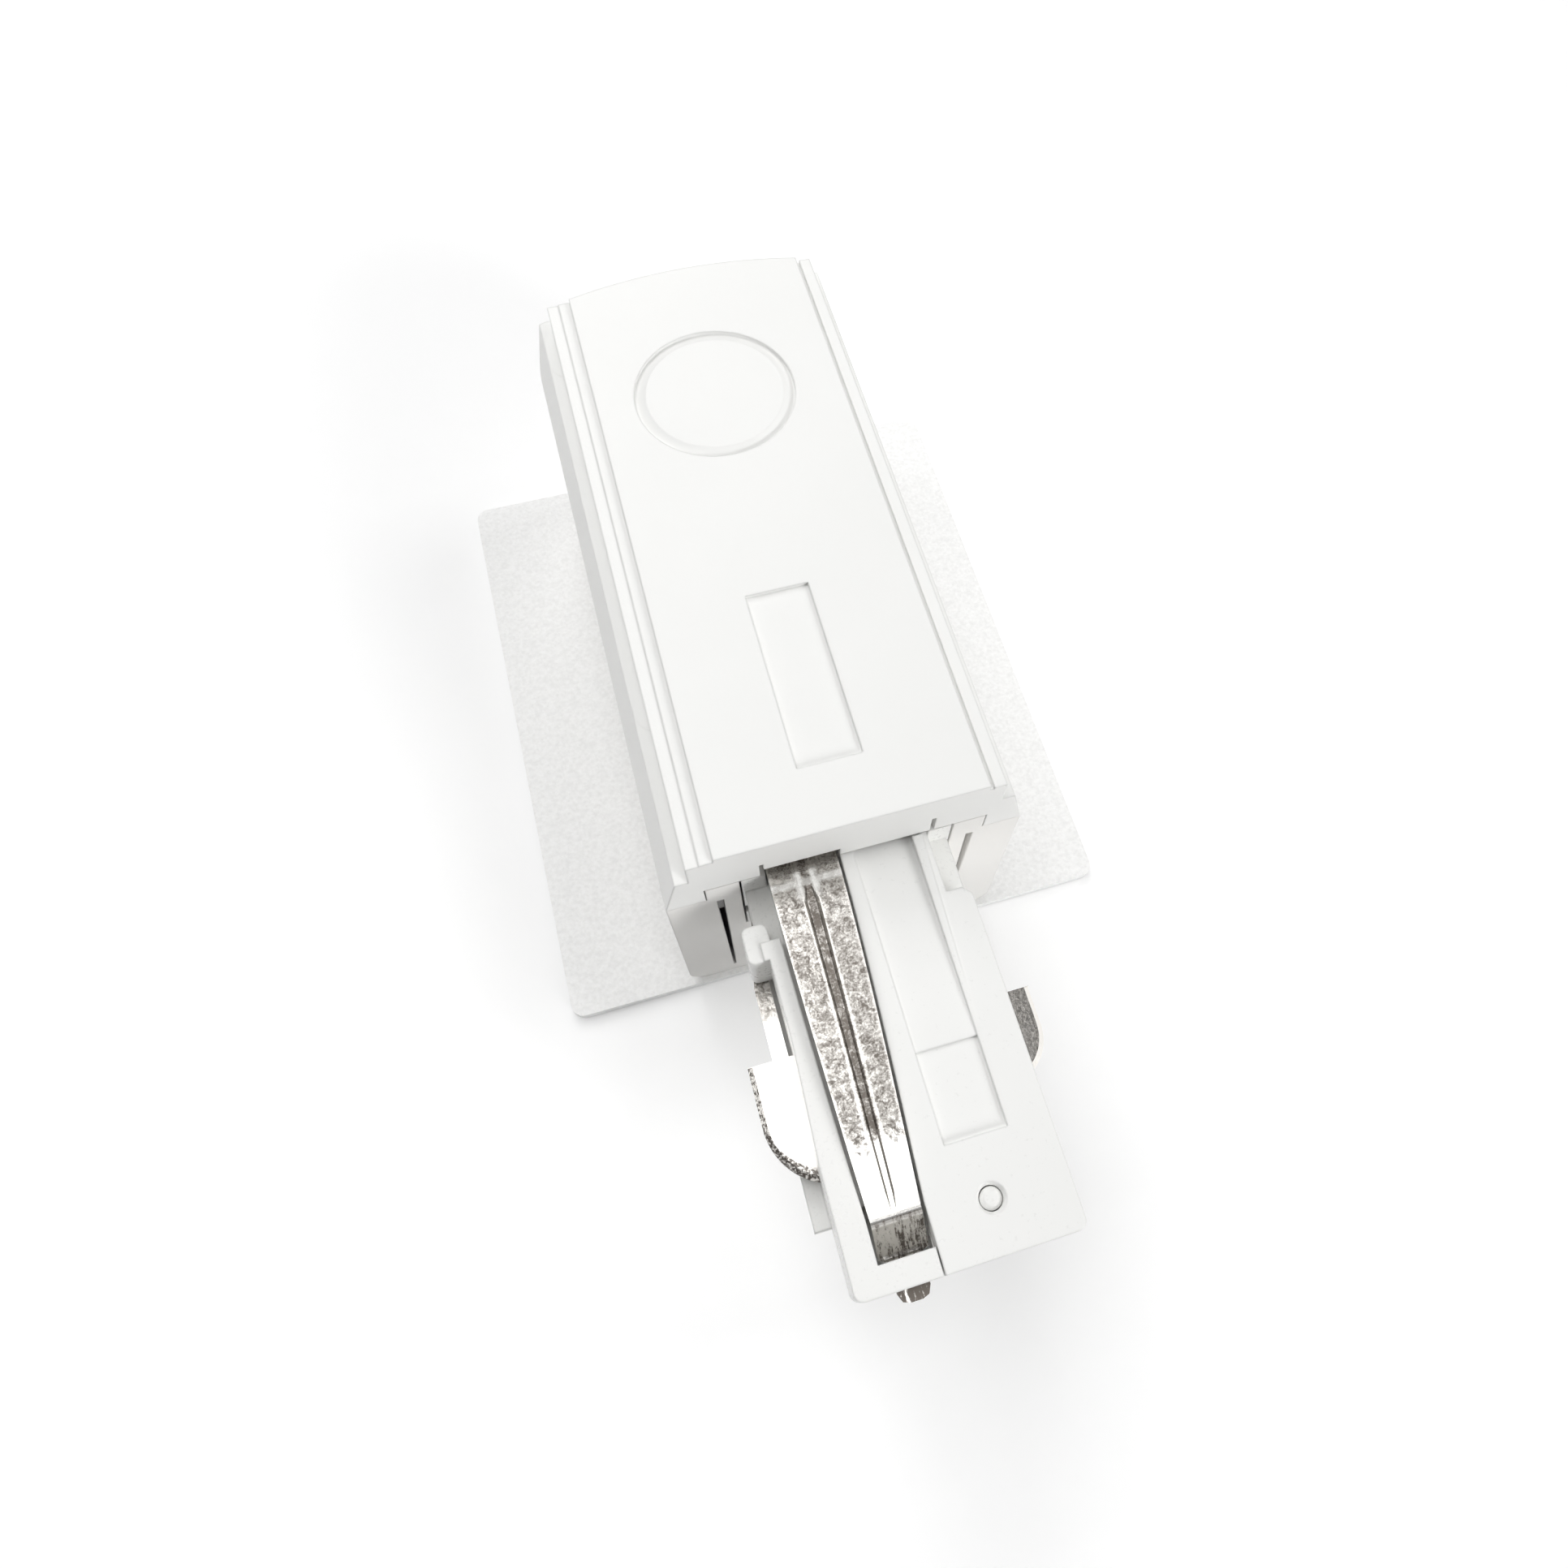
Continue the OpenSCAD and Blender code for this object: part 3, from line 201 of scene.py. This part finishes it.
# %% [markdown]
# ## Moulded plastic
# Housing, cover and clamp are injection moulded polycarbonate, white right through. The mould was spark
# eroded, which leaves a fine even grain: the eye sees a soft sheen without clear reflections, and a slight
# sparkle. The tongue and its lid come from a polished mould and are smoother. Real grain is about 0.1 mm
# across. It is drawn at 0.3 mm or more here, so that it still shows in a render of the whole feed. Grain
# this fine is cheaper as bump than as mesh. A bevel node also lets light turn softly round each edge, as
# it does on edges that the mould left round.
#
# The terminal block is grained polyamide, greyer and duller. The leads have a skin of extruded PVC, which
# is smooth with a low sheen.

# %% Plastics
ROUND_MM = 0.3                          # how far from an edge the light begins to turn


def moulded(name, base, tint, grain, depth, roughness, ior=1.58):
    """Plastic with a grained skin. grain is its width and depth its height, in millimetres."""
    material, tree, mm = begin(name)
    # slow change of tone where the melt cooled at different rates
    cloud = add(tree, "ShaderNodeTexNoise", {"Vector": mm, "Scale": 1 / 14.0, "Detail": 2.0})
    tone = add(tree, "ShaderNodeMixRGB", {"Fac": cloud, "Color1": colour(base), "Color2": colour(tint)})
    skin = add(tree, "ShaderNodeTexNoise", {"Vector": mm, "Scale": 1 / grain, "Detail": 4.0,
                                            "Roughness": 0.6})
    gloss = add(tree, "ShaderNodeMapRange", {"Value": skin, "From Min": 0.3, "From Max": 0.7,
                                             "To Min": roughness - 0.06, "To Max": roughness + 0.08})
    soft = add(tree, "ShaderNodeBevel", {"Radius": ROUND_MM * MM}, samples=6)
    relief = add(tree, "ShaderNodeBump", {"Height": skin, "Strength": 1.0, "Distance": depth * MM,
                                          "Normal": soft})
    finish_with(tree, add(tree, "ShaderNodeBsdfPrincipled", {
        "Base Color": tone, "Roughness": gloss, "IOR": ior, "Normal": relief}))
    return material


grained_cover = moulded("grained_polycarbonate_cover", "#f1f1ef", "#ededeb", 0.30, 0.012, 0.48)
grained_housing = moulded("grained_polycarbonate_housing", "#f0eeeb", "#ecebe8", 0.30, 0.014, 0.50)
smooth_carrier = moulded("smooth_polycarbonate_tongue", "#f1f1ef", "#eeeeeb", 0.45, 0.004, 0.30)
smooth_lid = moulded("smooth_polycarbonate_lid", "#f2f2f0", "#efefed", 0.45, 0.004, 0.32)
block_grey = moulded("grained_polyamide_block", "#cfcfca", "#c7c7c2", 0.40, 0.016, 0.55, ior=1.53)
wire_white = moulded("extruded_pvc_white", "#e2e0da", "#dad8d1", 0.50, 0.006, 0.38, ior=1.53)
print("plastics:", [m.name for m in (grained_cover, grained_housing, smooth_carrier, smooth_lid)])

# %% [markdown]
# ## Earth insulation
# The earth lead's PVC carries the two colours of earth wires: green with a yellow stripe along it. A map
# of the lead's length could carry the stripe round every turn. The lead lies inside the housing, so a
# plain step across it is enough.

# %% Green and yellow PVC
STRIPE_X = 0.25                         # yellow begins this far right of the middle, in millimetres
wire_earth, tree, mm = begin("extruded_pvc_green_yellow")
across = add(tree, "ShaderNodeSeparateXYZ", {"Vector": mm}).outputs["X"]
stripe = add(tree, "ShaderNodeMath", {0: across, 1: STRIPE_X}, operation="GREATER_THAN")
tone = add(tree, "ShaderNodeMixRGB", {"Fac": stripe, "Color1": colour("#3f8f3a"),
                                      "Color2": colour("#e3cf2e")})
skin = add(tree, "ShaderNodeTexNoise", {"Vector": mm, "Scale": 1 / 0.5, "Detail": 3.0})
relief = add(tree, "ShaderNodeBump", {"Height": skin, "Distance": 0.008 * MM})
finish_with(tree, add(tree, "ShaderNodeBsdfPrincipled", {
    "Base Color": tone, "Roughness": 0.4, "IOR": 1.53, "Normal": relief}))
print("earth lead:", wire_earth.name)

# %% [markdown]
# ## Powder coat
# The flange is a steel plate with a white powder coat. The powder melts into a skin that is not quite
# flat, with orange peel and tiny pits: the eye sees a white that is speckled and a little duller than the
# plastic beside it. Round cells give the hills of the peel, and a finer noise gives pits and specks. They
# are drawn 0.4 to 0.55 mm apart, coarser than they are, so that they show.

# %% Powder coated steel
powder, tree, mm = begin("white_powder_coat")
peel = add(tree, "ShaderNodeTexVoronoi", {"Vector": mm, "Scale": 1 / 0.55}, feature="SMOOTH_F1")
pits = add(tree, "ShaderNodeTexNoise", {"Vector": mm, "Scale": 1 / 0.40, "Detail": 3.0})
both = add(tree, "ShaderNodeMath", {0: peel, 1: pits}, operation="ADD")
speckle = add(tree, "ShaderNodeMapRange", {"Value": pits, "From Min": 0.3, "From Max": 0.7})
tone = add(tree, "ShaderNodeMixRGB", {"Fac": speckle, "Color1": colour("#f0f0ef"),
                                      "Color2": colour("#fdfdfc")})
gloss = add(tree, "ShaderNodeMapRange", {"Value": pits, "To Min": 0.38, "To Max": 0.58})
relief = add(tree, "ShaderNodeBump", {"Height": both, "Strength": 1.0, "Distance": 0.012 * MM})
finish_with(tree, add(tree, "ShaderNodeBsdfPrincipled", {
    "Base Color": tone, "Roughness": gloss, "IOR": 1.5, "Normal": relief}))
print("flange:", powder.name)

# %% [markdown]
# ## Tumbled and plated spring metal
# The earth spring is hard bronze strip, tin plated and then tumbled with other parts. The tumbling leaves
# a mottled skin, dull grey with bright flecks. The pressed groove is darker along its middle and gets
# painted shade on its steep walls, while the groove's lips and the strip's edges are burnished. The track
# has rubbed the front clean, so that it shines white. Near the housing and on the end that is bent down the
# strip gets painted highlight, the bent end is mottled again, and its tip gets painted shade.
#
# All of this could be painted by hand on an unrolled strip. Here it is worked out from where a point lies,
# because the marks follow the shape: how far along the strip, how far from its middle, how far from its
# edge. The first cell measures that.

# %% Where a point lies on the spring
BEND_Y = -30.9                          # in mm: the housing's front is at 0, and the strip bends down here
MIDDLE_X = (-4.45, -5.0)                # the strip's middle line at the housing and at the bend
HALF_WIDTH = (3.35, 2.2)                # half its width there
TAPER = 1.5                             # it keeps its width at first, and narrows faster towards the bend

tinned, tree, mm = begin("tumbled_tin_plate")
place = add(tree, "ShaderNodeSeparateXYZ", {"Vector": mm})
along = place.outputs["Y"]
middle = add(tree, "ShaderNodeMapRange", {"Value": along, "From Min": 0.0, "From Max": BEND_Y,
                                          "To Min": MIDDLE_X[0], "To Max": MIDDLE_X[1]})
aside = add(tree, "ShaderNodeMath", {0: place.outputs["X"], 1: middle}, operation="SUBTRACT")
off_middle = add(tree, "ShaderNodeMath", {0: aside}, operation="ABSOLUTE")
share = add(tree, "ShaderNodeMapRange", {"Value": along, "From Min": 0.0, "From Max": BEND_Y})
taper = add(tree, "ShaderNodeMath", {0: share, 1: TAPER}, operation="POWER")
half = add(tree, "ShaderNodeMapRange", {"Value": taper, "To Min": HALF_WIDTH[0], "To Max": HALF_WIDTH[1]})
to_edge = add(tree, "ShaderNodeMath", {0: half, 1: off_middle}, operation="SUBTRACT")
print("spring, from the housing to the bend in mm:", -BEND_Y)

# %% [markdown]
# ## Patches, flecks and streaks
# Tumbling marks come in two sizes, ragged patches of about 0.9 mm and flecks of 0.22 mm. The end that is
# bent down was also drawn over the bending tool, and shows streaks 0.25 mm wide that run along it. Each
# of the three is a noise, which never repeats as a picture of stains would.

# %% Patches, flecks and streaks
STREAK_MM = (0.25, 1.5, 1.5)            # width, length and height of a streak
BEND_HALF = 0.3                         # half of what the bend takes up along the strip, in mm
patches = add(tree, "ShaderNodeTexNoise", {"Vector": mm, "Scale": 1 / 0.9, "Detail": 6.0,
                                           "Roughness": 0.70, "Distortion": 0.9})
flecks = add(tree, "ShaderNodeTexNoise", {"Vector": mm, "Scale": 1 / 0.22, "Detail": 3.0,
                                          "Roughness": 0.75, "Distortion": 0.3})
drawn = add(tree, "ShaderNodeMapping", {"Vector": mm, "Scale": [1 / size for size in STREAK_MM]})
streaks = add(tree, "ShaderNodeTexNoise", {"Vector": drawn, "Scale": 1.0, "Detail": 3.0, "Roughness": 0.6})
bent = add(tree, "ShaderNodeMath", {0: along, 1: BEND_Y - BEND_HALF}, operation="LESS_THAN")
streak = add(tree, "ShaderNodeMath", {0: streaks, 1: 0.5}, operation="SUBTRACT")
streak = add(tree, "ShaderNodeMath", {0: streak, 1: bent}, operation="MULTIPLY")
print("streaks in mm:", STREAK_MM)

# %% [markdown]
# ## Duller and brighter zones
# The patches set how dull each point is, and every zone of the strip adds to that or takes from it.
# Where the sum is high the skin is dark, and where it is low the tin shines. A mask for each zone could
# be mixed in one by one, but a table of plain sums is shorter, and each row can be tuned alone. Some rows
# are painted light: painted highlight at the housing and on the bent end, painted shade at the tip.

# %% Zones of the spring
def near(tree, value, middle, inner, outer):
    """1 where value is within inner of middle, and falling to 0 at outer."""
    gap = add(tree, "ShaderNodeMath", {0: value, 1: middle}, operation="SUBTRACT")
    gap = add(tree, "ShaderNodeMath", {0: gap}, operation="ABSOLUTE")
    return add(tree, "ShaderNodeMapRange", {"Value": gap, "From Min": inner, "From Max": outer,
                                            "To Min": 1.0, "To Max": 0.0})


LIP_X = 0.68                            # from the groove's middle to its lips, in mm
# the tip lies under the tongue and gets painted shade
TIP_Y = -35.0                           # in front of this the strip's tip is dull, in mm
lip = near(tree, off_middle, LIP_X, 0.04, 0.20)
# the strip's side on the bent end, used for its painted highlight
bent_side = add(tree, "ShaderNodeMath", {0: aside, 1: bent}, operation="MULTIPLY")
# for each zone: what it goes by, from where to where, and what is added to the dullness at both ends
ZONES = {
    "flecks": (flecks, 0.0, 1.0, -0.15, 0.65),
    # darker along the groove's middle
    "groove": (off_middle, 0.25, 0.45, 0.13, 0.0),
    "lips": (lip, 0.0, 1.0, 0.0, -0.20),
    "edges": (to_edge, 0.05, 0.28, -0.22, 0.0),
    # painted highlight: the strip is a little brighter in its last 2.6 mm before the housing
    "at the housing": (along, -3.8, -2.6, 0.0, -0.04),
    # painted highlight: the bent end is brighter, its left half more and its right half less
    "bent end": (along, BEND_Y - 0.1, BEND_Y - 0.7, 0.0, -0.12),
    "bent end, left to right": (bent_side, -1.5, 1.5, -0.13, 0.13),
    "streaks": (streak, -0.15, 0.15, -0.30, 0.30),
    # painted shade: the tip under the tongue's front edge is darker and rougher
    "tip": (along, TIP_Y + 0.4, TIP_Y - 0.4, 0.0, 0.36)}
dull = patches
for value, start, end, low, high in ZONES.values():
    zone = add(tree, "ShaderNodeMapRange", {"Value": value, "From Min": start, "From Max": end,
                                            "To Min": low, "To Max": high})
    dull = add(tree, "ShaderNodeMath", {0: dull, 1: zone}, operation="ADD")
print("zones:", list(ZONES))

# %% [markdown]
# ## The front that is rubbed clean
# The track has taken the skin off the last 6 mm before the bend. A straight border would look painted, so
# the patches push it to and fro. Behind it and on the bent end, patches and zones make the mottle.

# %% Skin and its border
SKIN_END_Y = (-25.4, -24.2)             # in mm: no skin in front of the first, full skin behind the second
RAGGED_MM = 7.0                         # width of the stretch in which the patches push that border
push = add(tree, "ShaderNodeMath", {0: patches, 1: RAGGED_MM, 2: -RAGGED_MM / 2}, operation="MULTIPLY_ADD")
border = add(tree, "ShaderNodeMath", {0: along, 1: push}, operation="ADD")
skin = add(tree, "ShaderNodeMapRange", {"Value": border, "From Min": SKIN_END_Y[0],
                                        "From Max": SKIN_END_Y[1]})
skinned = add(tree, "ShaderNodeMath", {0: skin, 1: bent}, operation="MAXIMUM")
patchy = add(tree, "ShaderNodeMapRange", {"Value": dull, "From Min": 0.555, "From Max": 0.895})
mottle = add(tree, "ShaderNodeMath", {0: patchy, 1: skinned}, operation="MULTIPLY")
print("border of the skin in mm:", SKIN_END_Y)

# %% [markdown]
# ## Painted shade on the groove's walls
# The steep walls of the pressed groove get painted shade, in the clean front too,
# where the walls are thinner and the shade fainter. The groove is in the mesh, so its walls are found by
# their slope.

# %% Painted shade on the walls
GROOVE_HALF = 1.0                       # walls are looked for this far from the middle, in mm
normal = add(tree, "ShaderNodeNewGeometry").outputs["True Normal"]
slope = add(tree, "ShaderNodeSeparateXYZ", {"Vector": normal}).outputs["X"]
steep = add(tree, "ShaderNodeMath", {0: slope}, operation="ABSOLUTE")
# painted shade: the groove's steep walls are darkened by their slope, and less in the rubbed front
wall_shade = add(tree, "ShaderNodeMapRange", {"Value": steep, "From Min": 0.06, "From Max": 0.22, "To Max": 0.75})
inside = add(tree, "ShaderNodeMath", {0: off_middle, 1: GROOVE_HALF}, operation="LESS_THAN")
rubbed = add(tree, "ShaderNodeMapRange", {"Value": skin, "To Min": 1.0, "To Max": 0.35})
for factor in (inside, rubbed):
    wall_shade = add(tree, "ShaderNodeMath", {0: wall_shade, 1: factor}, operation="MULTIPLY")
dark = add(tree, "ShaderNodeMath", {0: mottle, 1: wall_shade}, operation="MAXIMUM")
print("groove's walls within, in mm:", GROOVE_HALF)

# %% [markdown]
# ## A painted highlight near the housing
# Just in front of the housing a whitish band of painted highlight runs across the strip, and forks along the
# groove's lips. It is matt, so it hardly mirrors, and it breaks up where the skin is dull.

# %% Painted highlight and its fork
HIGHLIGHT_Y = -1.8                            # the line, in mm in front of the housing
FORK_X = 0.78                           # the fork, from the strip's middle
FORK_ENDS = ((-4.0, -2.4), (-0.5, -1.0))    # where each of its ends fades in
line = near(tree, along, HIGHLIGHT_Y, 0.20, 0.50)
fork = near(tree, off_middle, FORK_X, 0.24, 0.46)
for start, end in FORK_ENDS:
    limit = add(tree, "ShaderNodeMapRange", {"Value": along, "From Min": start, "From Max": end})
    fork = add(tree, "ShaderNodeMath", {0: fork, 1: limit}, operation="MULTIPLY")
# painted highlight: a whitish band across the strip, forking along the groove's lips
highlight_band = add(tree, "ShaderNodeMath", {0: line, 1: fork}, operation="MAXIMUM")
broken = add(tree, "ShaderNodeMapRange", {"Value": dull, "From Min": 0.775, "From Max": 0.575,
                                          "To Min": 0.45, "To Max": 1.0})
highlight_band = add(tree, "ShaderNodeMath", {0: highlight_band, 1: broken}, operation="MULTIPLY")
print("line of tin at, in mm:", HIGHLIGHT_Y)

# %% [markdown]
# ## Colour and gloss of the strip
# Clean tin is nearly white, tin under its skin is a light warm grey, and the dull patches are brown grey.
# Dull places are also rougher, so they blur what they mirror: that makes them look worn, not printed.

# %% Tin plated bronze strip
clean = add(tree, "ShaderNodeMixRGB", {"Fac": skinned, "Color1": colour("#f4f2ee"),
                                       "Color2": colour("#d9d6d1")})
tone = add(tree, "ShaderNodeMixRGB", {"Fac": dark, "Color1": clean, "Color2": colour("#6f6963")})
# the painted highlight is mixed in as near white, with little metal
tone = add(tree, "ShaderNodeMixRGB", {"Fac": highlight_band, "Color1": tone, "Color2": colour("#fbfaf7")})
bare = add(tree, "ShaderNodeMapRange", {"Value": highlight_band, "To Min": 1.0, "To Max": 0.15})
gloss = add(tree, "ShaderNodeMapRange", {"Value": dark, "To Min": 0.18, "To Max": 0.42})
relief = add(tree, "ShaderNodeBump", {"Height": flecks, "Strength": 1.0, "Distance": 0.004 * MM})
finish_with(tree, add(tree, "ShaderNodeBsdfPrincipled", {
    "Base Color": tone, "Metallic": bare, "Roughness": gloss, "Normal": relief}))
print("earth spring:", tinned.name)

# %% [markdown]
# ## Nickel plate
# The side contacts are stamped from thicker sheet and nickel plated. The flat face of the left blade
# mirrors the lamp, and its rounded rim gets painted shade, in dark and bright specks. The right blade and
# both arms keep the stained skin of tumbling on their flat faces, and their rims are bright. Four materials
# could share this work. One is enough, because side, place along the blade and slope tell these surfaces
# apart.

# %% Patterns and slopes of the contacts
nickel, tree, mm = begin("bright_nickel_plate")
place = add(tree, "ShaderNodeSeparateXYZ", {"Vector": mm})
across, along = place.outputs["X"], place.outputs["Y"]
specks = add(tree, "ShaderNodeTexNoise", {"Vector": mm, "Scale": 1 / 0.30, "Detail": 4.0,
                                          "Roughness": 0.7, "Distortion": 0.6})
stains = add(tree, "ShaderNodeTexNoise", {"Vector": mm, "Scale": 1 / 0.9, "Detail": 5.0,
                                          "Roughness": 0.7, "Distortion": 1.5})
normal = add(tree, "ShaderNodeNewGeometry").outputs["True Normal"]
facing = add(tree, "ShaderNodeSeparateXYZ", {"Vector": normal}).outputs["Z"]
rim = add(tree, "ShaderNodeMapRange", {"Value": facing, "From Min": 0.75, "From Max": 0.97,
                                       "To Min": 1.0, "To Max": 0.0})
flat = add(tree, "ShaderNodeMath", {0: 1.0, 1: rim}, operation="SUBTRACT")
print("contacts: specks of 0.30 mm, stains of 0.9 mm")

# %% Stained faces and painted shade on the left blade's rim
ARM_Y = (-12.6, -10.4)                  # between these, in mm, a blade passes into its arm
left = add(tree, "ShaderNodeMath", {0: across, 1: 0.0}, operation="LESS_THAN")
right = add(tree, "ShaderNodeMapRange", {"Value": across, "From Min": -0.1, "From Max": 0.1,
                                         "To Max": 0.8})
arm = add(tree, "ShaderNodeMapRange", {"Value": along, "From Min": ARM_Y[0], "From Max": ARM_Y[1]})
skin = add(tree, "ShaderNodeMath", {0: right, 1: arm}, operation="MAXIMUM")
stain = add(tree, "ShaderNodeMapRange", {"Value": stains, "From Min": 0.36, "From Max": 0.62,
                                         "To Min": 1.0, "To Max": 0.45})
speck = add(tree, "ShaderNodeMapRange", {"Value": specks, "From Min": 0.46, "From Max": 0.56})
stained = add(tree, "ShaderNodeMath", {0: flat, 1: skin}, operation="MULTIPLY")
stained = add(tree, "ShaderNodeMath", {0: stained, 1: stain}, operation="MULTIPLY")
# painted shade: the left blade's rim is darkened in specks, added to the stains
left_rim_shade = add(tree, "ShaderNodeMath", {0: rim, 1: left}, operation="MULTIPLY")
dark = add(tree, "ShaderNodeMath", {0: left_rim_shade, 1: speck, 2: stained}, operation="MULTIPLY_ADD")
print("arms begin between, in mm:", ARM_Y)

# %% [markdown]
# ## Painted shade on the left blade's front
# The left blade's round front is what the track meets first. Along its edge it gets painted shade, in a
# speckled band that widens towards the blade's end. The distance from the middle of the round gives the
# band.

# %% Band of painted shade on the left blade
ROUND_MIDDLE = (-7.3, -20.4, 0.0)       # middle of the round front as seen from above, in mm
ROUND_RADIUS = 6.5
RIM_SHADE_Y = (-20.8, -26.0)                 # where the band begins, and the blade's end
RIM_SHADE_WIDTH = (0.15, 1.35)               # its width at both
from_above = add(tree, "ShaderNodeMapping", {"Vector": mm, "Scale": (1, 1, 0)})
distance = add(tree, "ShaderNodeVectorMath", {0: from_above, 1: ROUND_MIDDLE},
               operation="DISTANCE").outputs["Value"]
width = add(tree, "ShaderNodeMapRange", {"Value": along, "From Min": RIM_SHADE_Y[0], "From Max": RIM_SHADE_Y[1],
                                         "To Min": RIM_SHADE_WIDTH[0], "To Max": RIM_SHADE_WIDTH[1]})
reach = add(tree, "ShaderNodeMath", {0: distance, 1: width}, operation="ADD")
# painted shade: a dark band along the left blade's round edge
shaded = add(tree, "ShaderNodeMapRange", {"Value": reach, "From Min": ROUND_RADIUS - 0.1,
                                        "From Max": ROUND_RADIUS + 0.1})
front = add(tree, "ShaderNodeMath", {0: along, 1: ROUND_MIDDLE[1]}, operation="LESS_THAN")
patch = add(tree, "ShaderNodeMapRange", {"Value": specks, "From Min": 0.42, "From Max": 0.52,
                                         "To Min": 0.30, "To Max": 0.95})
for factor in (front, left, patch):
    shaded = add(tree, "ShaderNodeMath", {0: shaded, 1: factor}, operation="MULTIPLY")
print("worn band's width in mm:", RIM_SHADE_WIDTH)

# %% [markdown]
# ## Colour and gloss of the contacts
# Nickel is a slightly warm white metal, stains turn it brown grey, and the painted shade turns it darker
# still. It is smoother than the strip, so the flat blade gives a clear highlight. The specks also stand in
# the relief, but only where the surface is stained or has painted shade.

# %% Nickel plated contacts
tone = add(tree, "ShaderNodeMixRGB", {"Fac": dark, "Color1": colour("#f1eee9"), "Color2": colour("#6c6761")})
# the band of painted shade is mixed in as dark brown grey
tone = add(tree, "ShaderNodeMixRGB", {"Fac": shaded, "Color1": tone, "Color2": colour("#4d4844")})
gloss = add(tree, "ShaderNodeMapRange", {"Value": specks, "From Min": 0.35, "From Max": 0.7,
                                         "To Min": 0.08, "To Max": 0.26})
relief = add(tree, "ShaderNodeBump", {"Height": specks, "Strength": dark, "Distance": 0.03 * MM})
finish_with(tree, add(tree, "ShaderNodeBsdfPrincipled", {
    "Base Color": tone, "Metallic": 1.0, "Roughness": gloss, "Normal": relief}))
print("contacts:", nickel.name)

# %% [markdown]
# ## Brass and zinc
# Inside the housing the terminals and the pin are sawn or turned brass, yellow with a satin sheen. The
# screws are zinc plated steel, a cool grey that mirrors a little. Both carry fine tool marks, lines about
# 0.15 mm apart. A wave texture draws such lines, here 0.5 mm apart, so that they show.

# %% Machined metals
def machined(name, base, worn_tone, pitch, roughness):
    """Cut metal with tool marks at that pitch, in millimetres."""
    material, tree, mm = begin(name)
    # a wave texture of scale 1 has 20 waves on a length of 2 pi
    marks = add(tree, "ShaderNodeTexWave", {"Vector": mm, "Scale": math.tau / 20 / pitch,
                                            "Distortion": 3.0, "Detail": 2.0}, bands_direction="Z")
    stain = add(tree, "ShaderNodeTexNoise", {"Vector": mm, "Scale": 1 / 2.2, "Detail": 4.0})
    tone = add(tree, "ShaderNodeMixRGB", {"Fac": stain, "Color1": colour(base), "Color2": colour(worn_tone)})
    gloss = add(tree, "ShaderNodeMapRange", {"Value": stain, "To Min": roughness - 0.1,
                                             "To Max": roughness + 0.12})
    relief = add(tree, "ShaderNodeBump", {"Height": marks, "Strength": 0.6, "Distance": 0.01 * MM})
    finish_with(tree, add(tree, "ShaderNodeBsdfPrincipled", {
        "Base Color": tone, "Metallic": 1.0, "Roughness": gloss, "Normal": relief}))
    return material


sawn_brass = machined("sawn_brass", "#d6b46a", "#b99550", 0.5, 0.32)
zinc = machined("zinc_plated_steel", "#cfcfcc", "#b4b5b6", 0.5, 0.30)
print("metals:", sawn_brass.name, zinc.name)

# %% [markdown]
# ## Each piece gets its finish
# The model's record says which material slot each piece takes its finish from. Materials could be given
# out piece by piece, but one table from slot to material is shorter, and forgets none.

# %% Give out the materials
FINISHES = {
    "flange_white": powder, "housing_white": grained_housing, "cover_white": grained_cover,
    "carrier_white": smooth_carrier, "lid_white": smooth_lid, "spring_metal": tinned,
    "contact_metal": nickel, "brass": sawn_brass, "screw_steel": zinc, "lead_white": wire_white,
    "lead_green": wire_earth, "block_grey": block_grey}
slot_of = {part["node"]: part["material_slot"] for part in frame["record"]["subparts"]}
for name, piece in frame["nodes"].items():
    piece.data.materials.clear()
    piece.data.materials.append(FINISHES[slot_of[name]])
print("pieces with a finish:", len(slot_of))

# %% [markdown]
# ## Soft edges
# No moulded edge is perfectly sharp. The bevel node above softens only the light, and close up the
# outline would still be a hard corner, so a bevel modifier also rounds the edges of the pieces that show,
# by a tenth or two of a millimetre. The meshes come in as loose triangles, and a weld modifier joins them
# first. The spring and the contacts are stamped sheet with crisp edges, and are left as they are.

# %% Round the edges
EDGE_MM = {"flange_plate": 0.12, "base_housing": 0.16, "top_cover": 0.18, "contact_carrier": 0.16,
           "carrier_lid": 0.14}
JOIN_MM = 0.002                         # corners closer than this are one
SHARP_TURN = 35                         # an edge that turns less, in degrees, is part of a curve
for name, width in EDGE_MM.items():
    piece = frame["nodes"][name]
    weld = piece.modifiers.new("join_triangles", "WELD")
    weld.merge_threshold = JOIN_MM * MM
    bevel = piece.modifiers.new("soft_edge", "BEVEL")
    bevel.width = width * MM
    bevel.segments = 2
    bevel.limit_method = "ANGLE"
    bevel.angle_limit = math.radians(SHARP_TURN)
    bevel.harden_normals = True
print("rounded:", EDGE_MM)
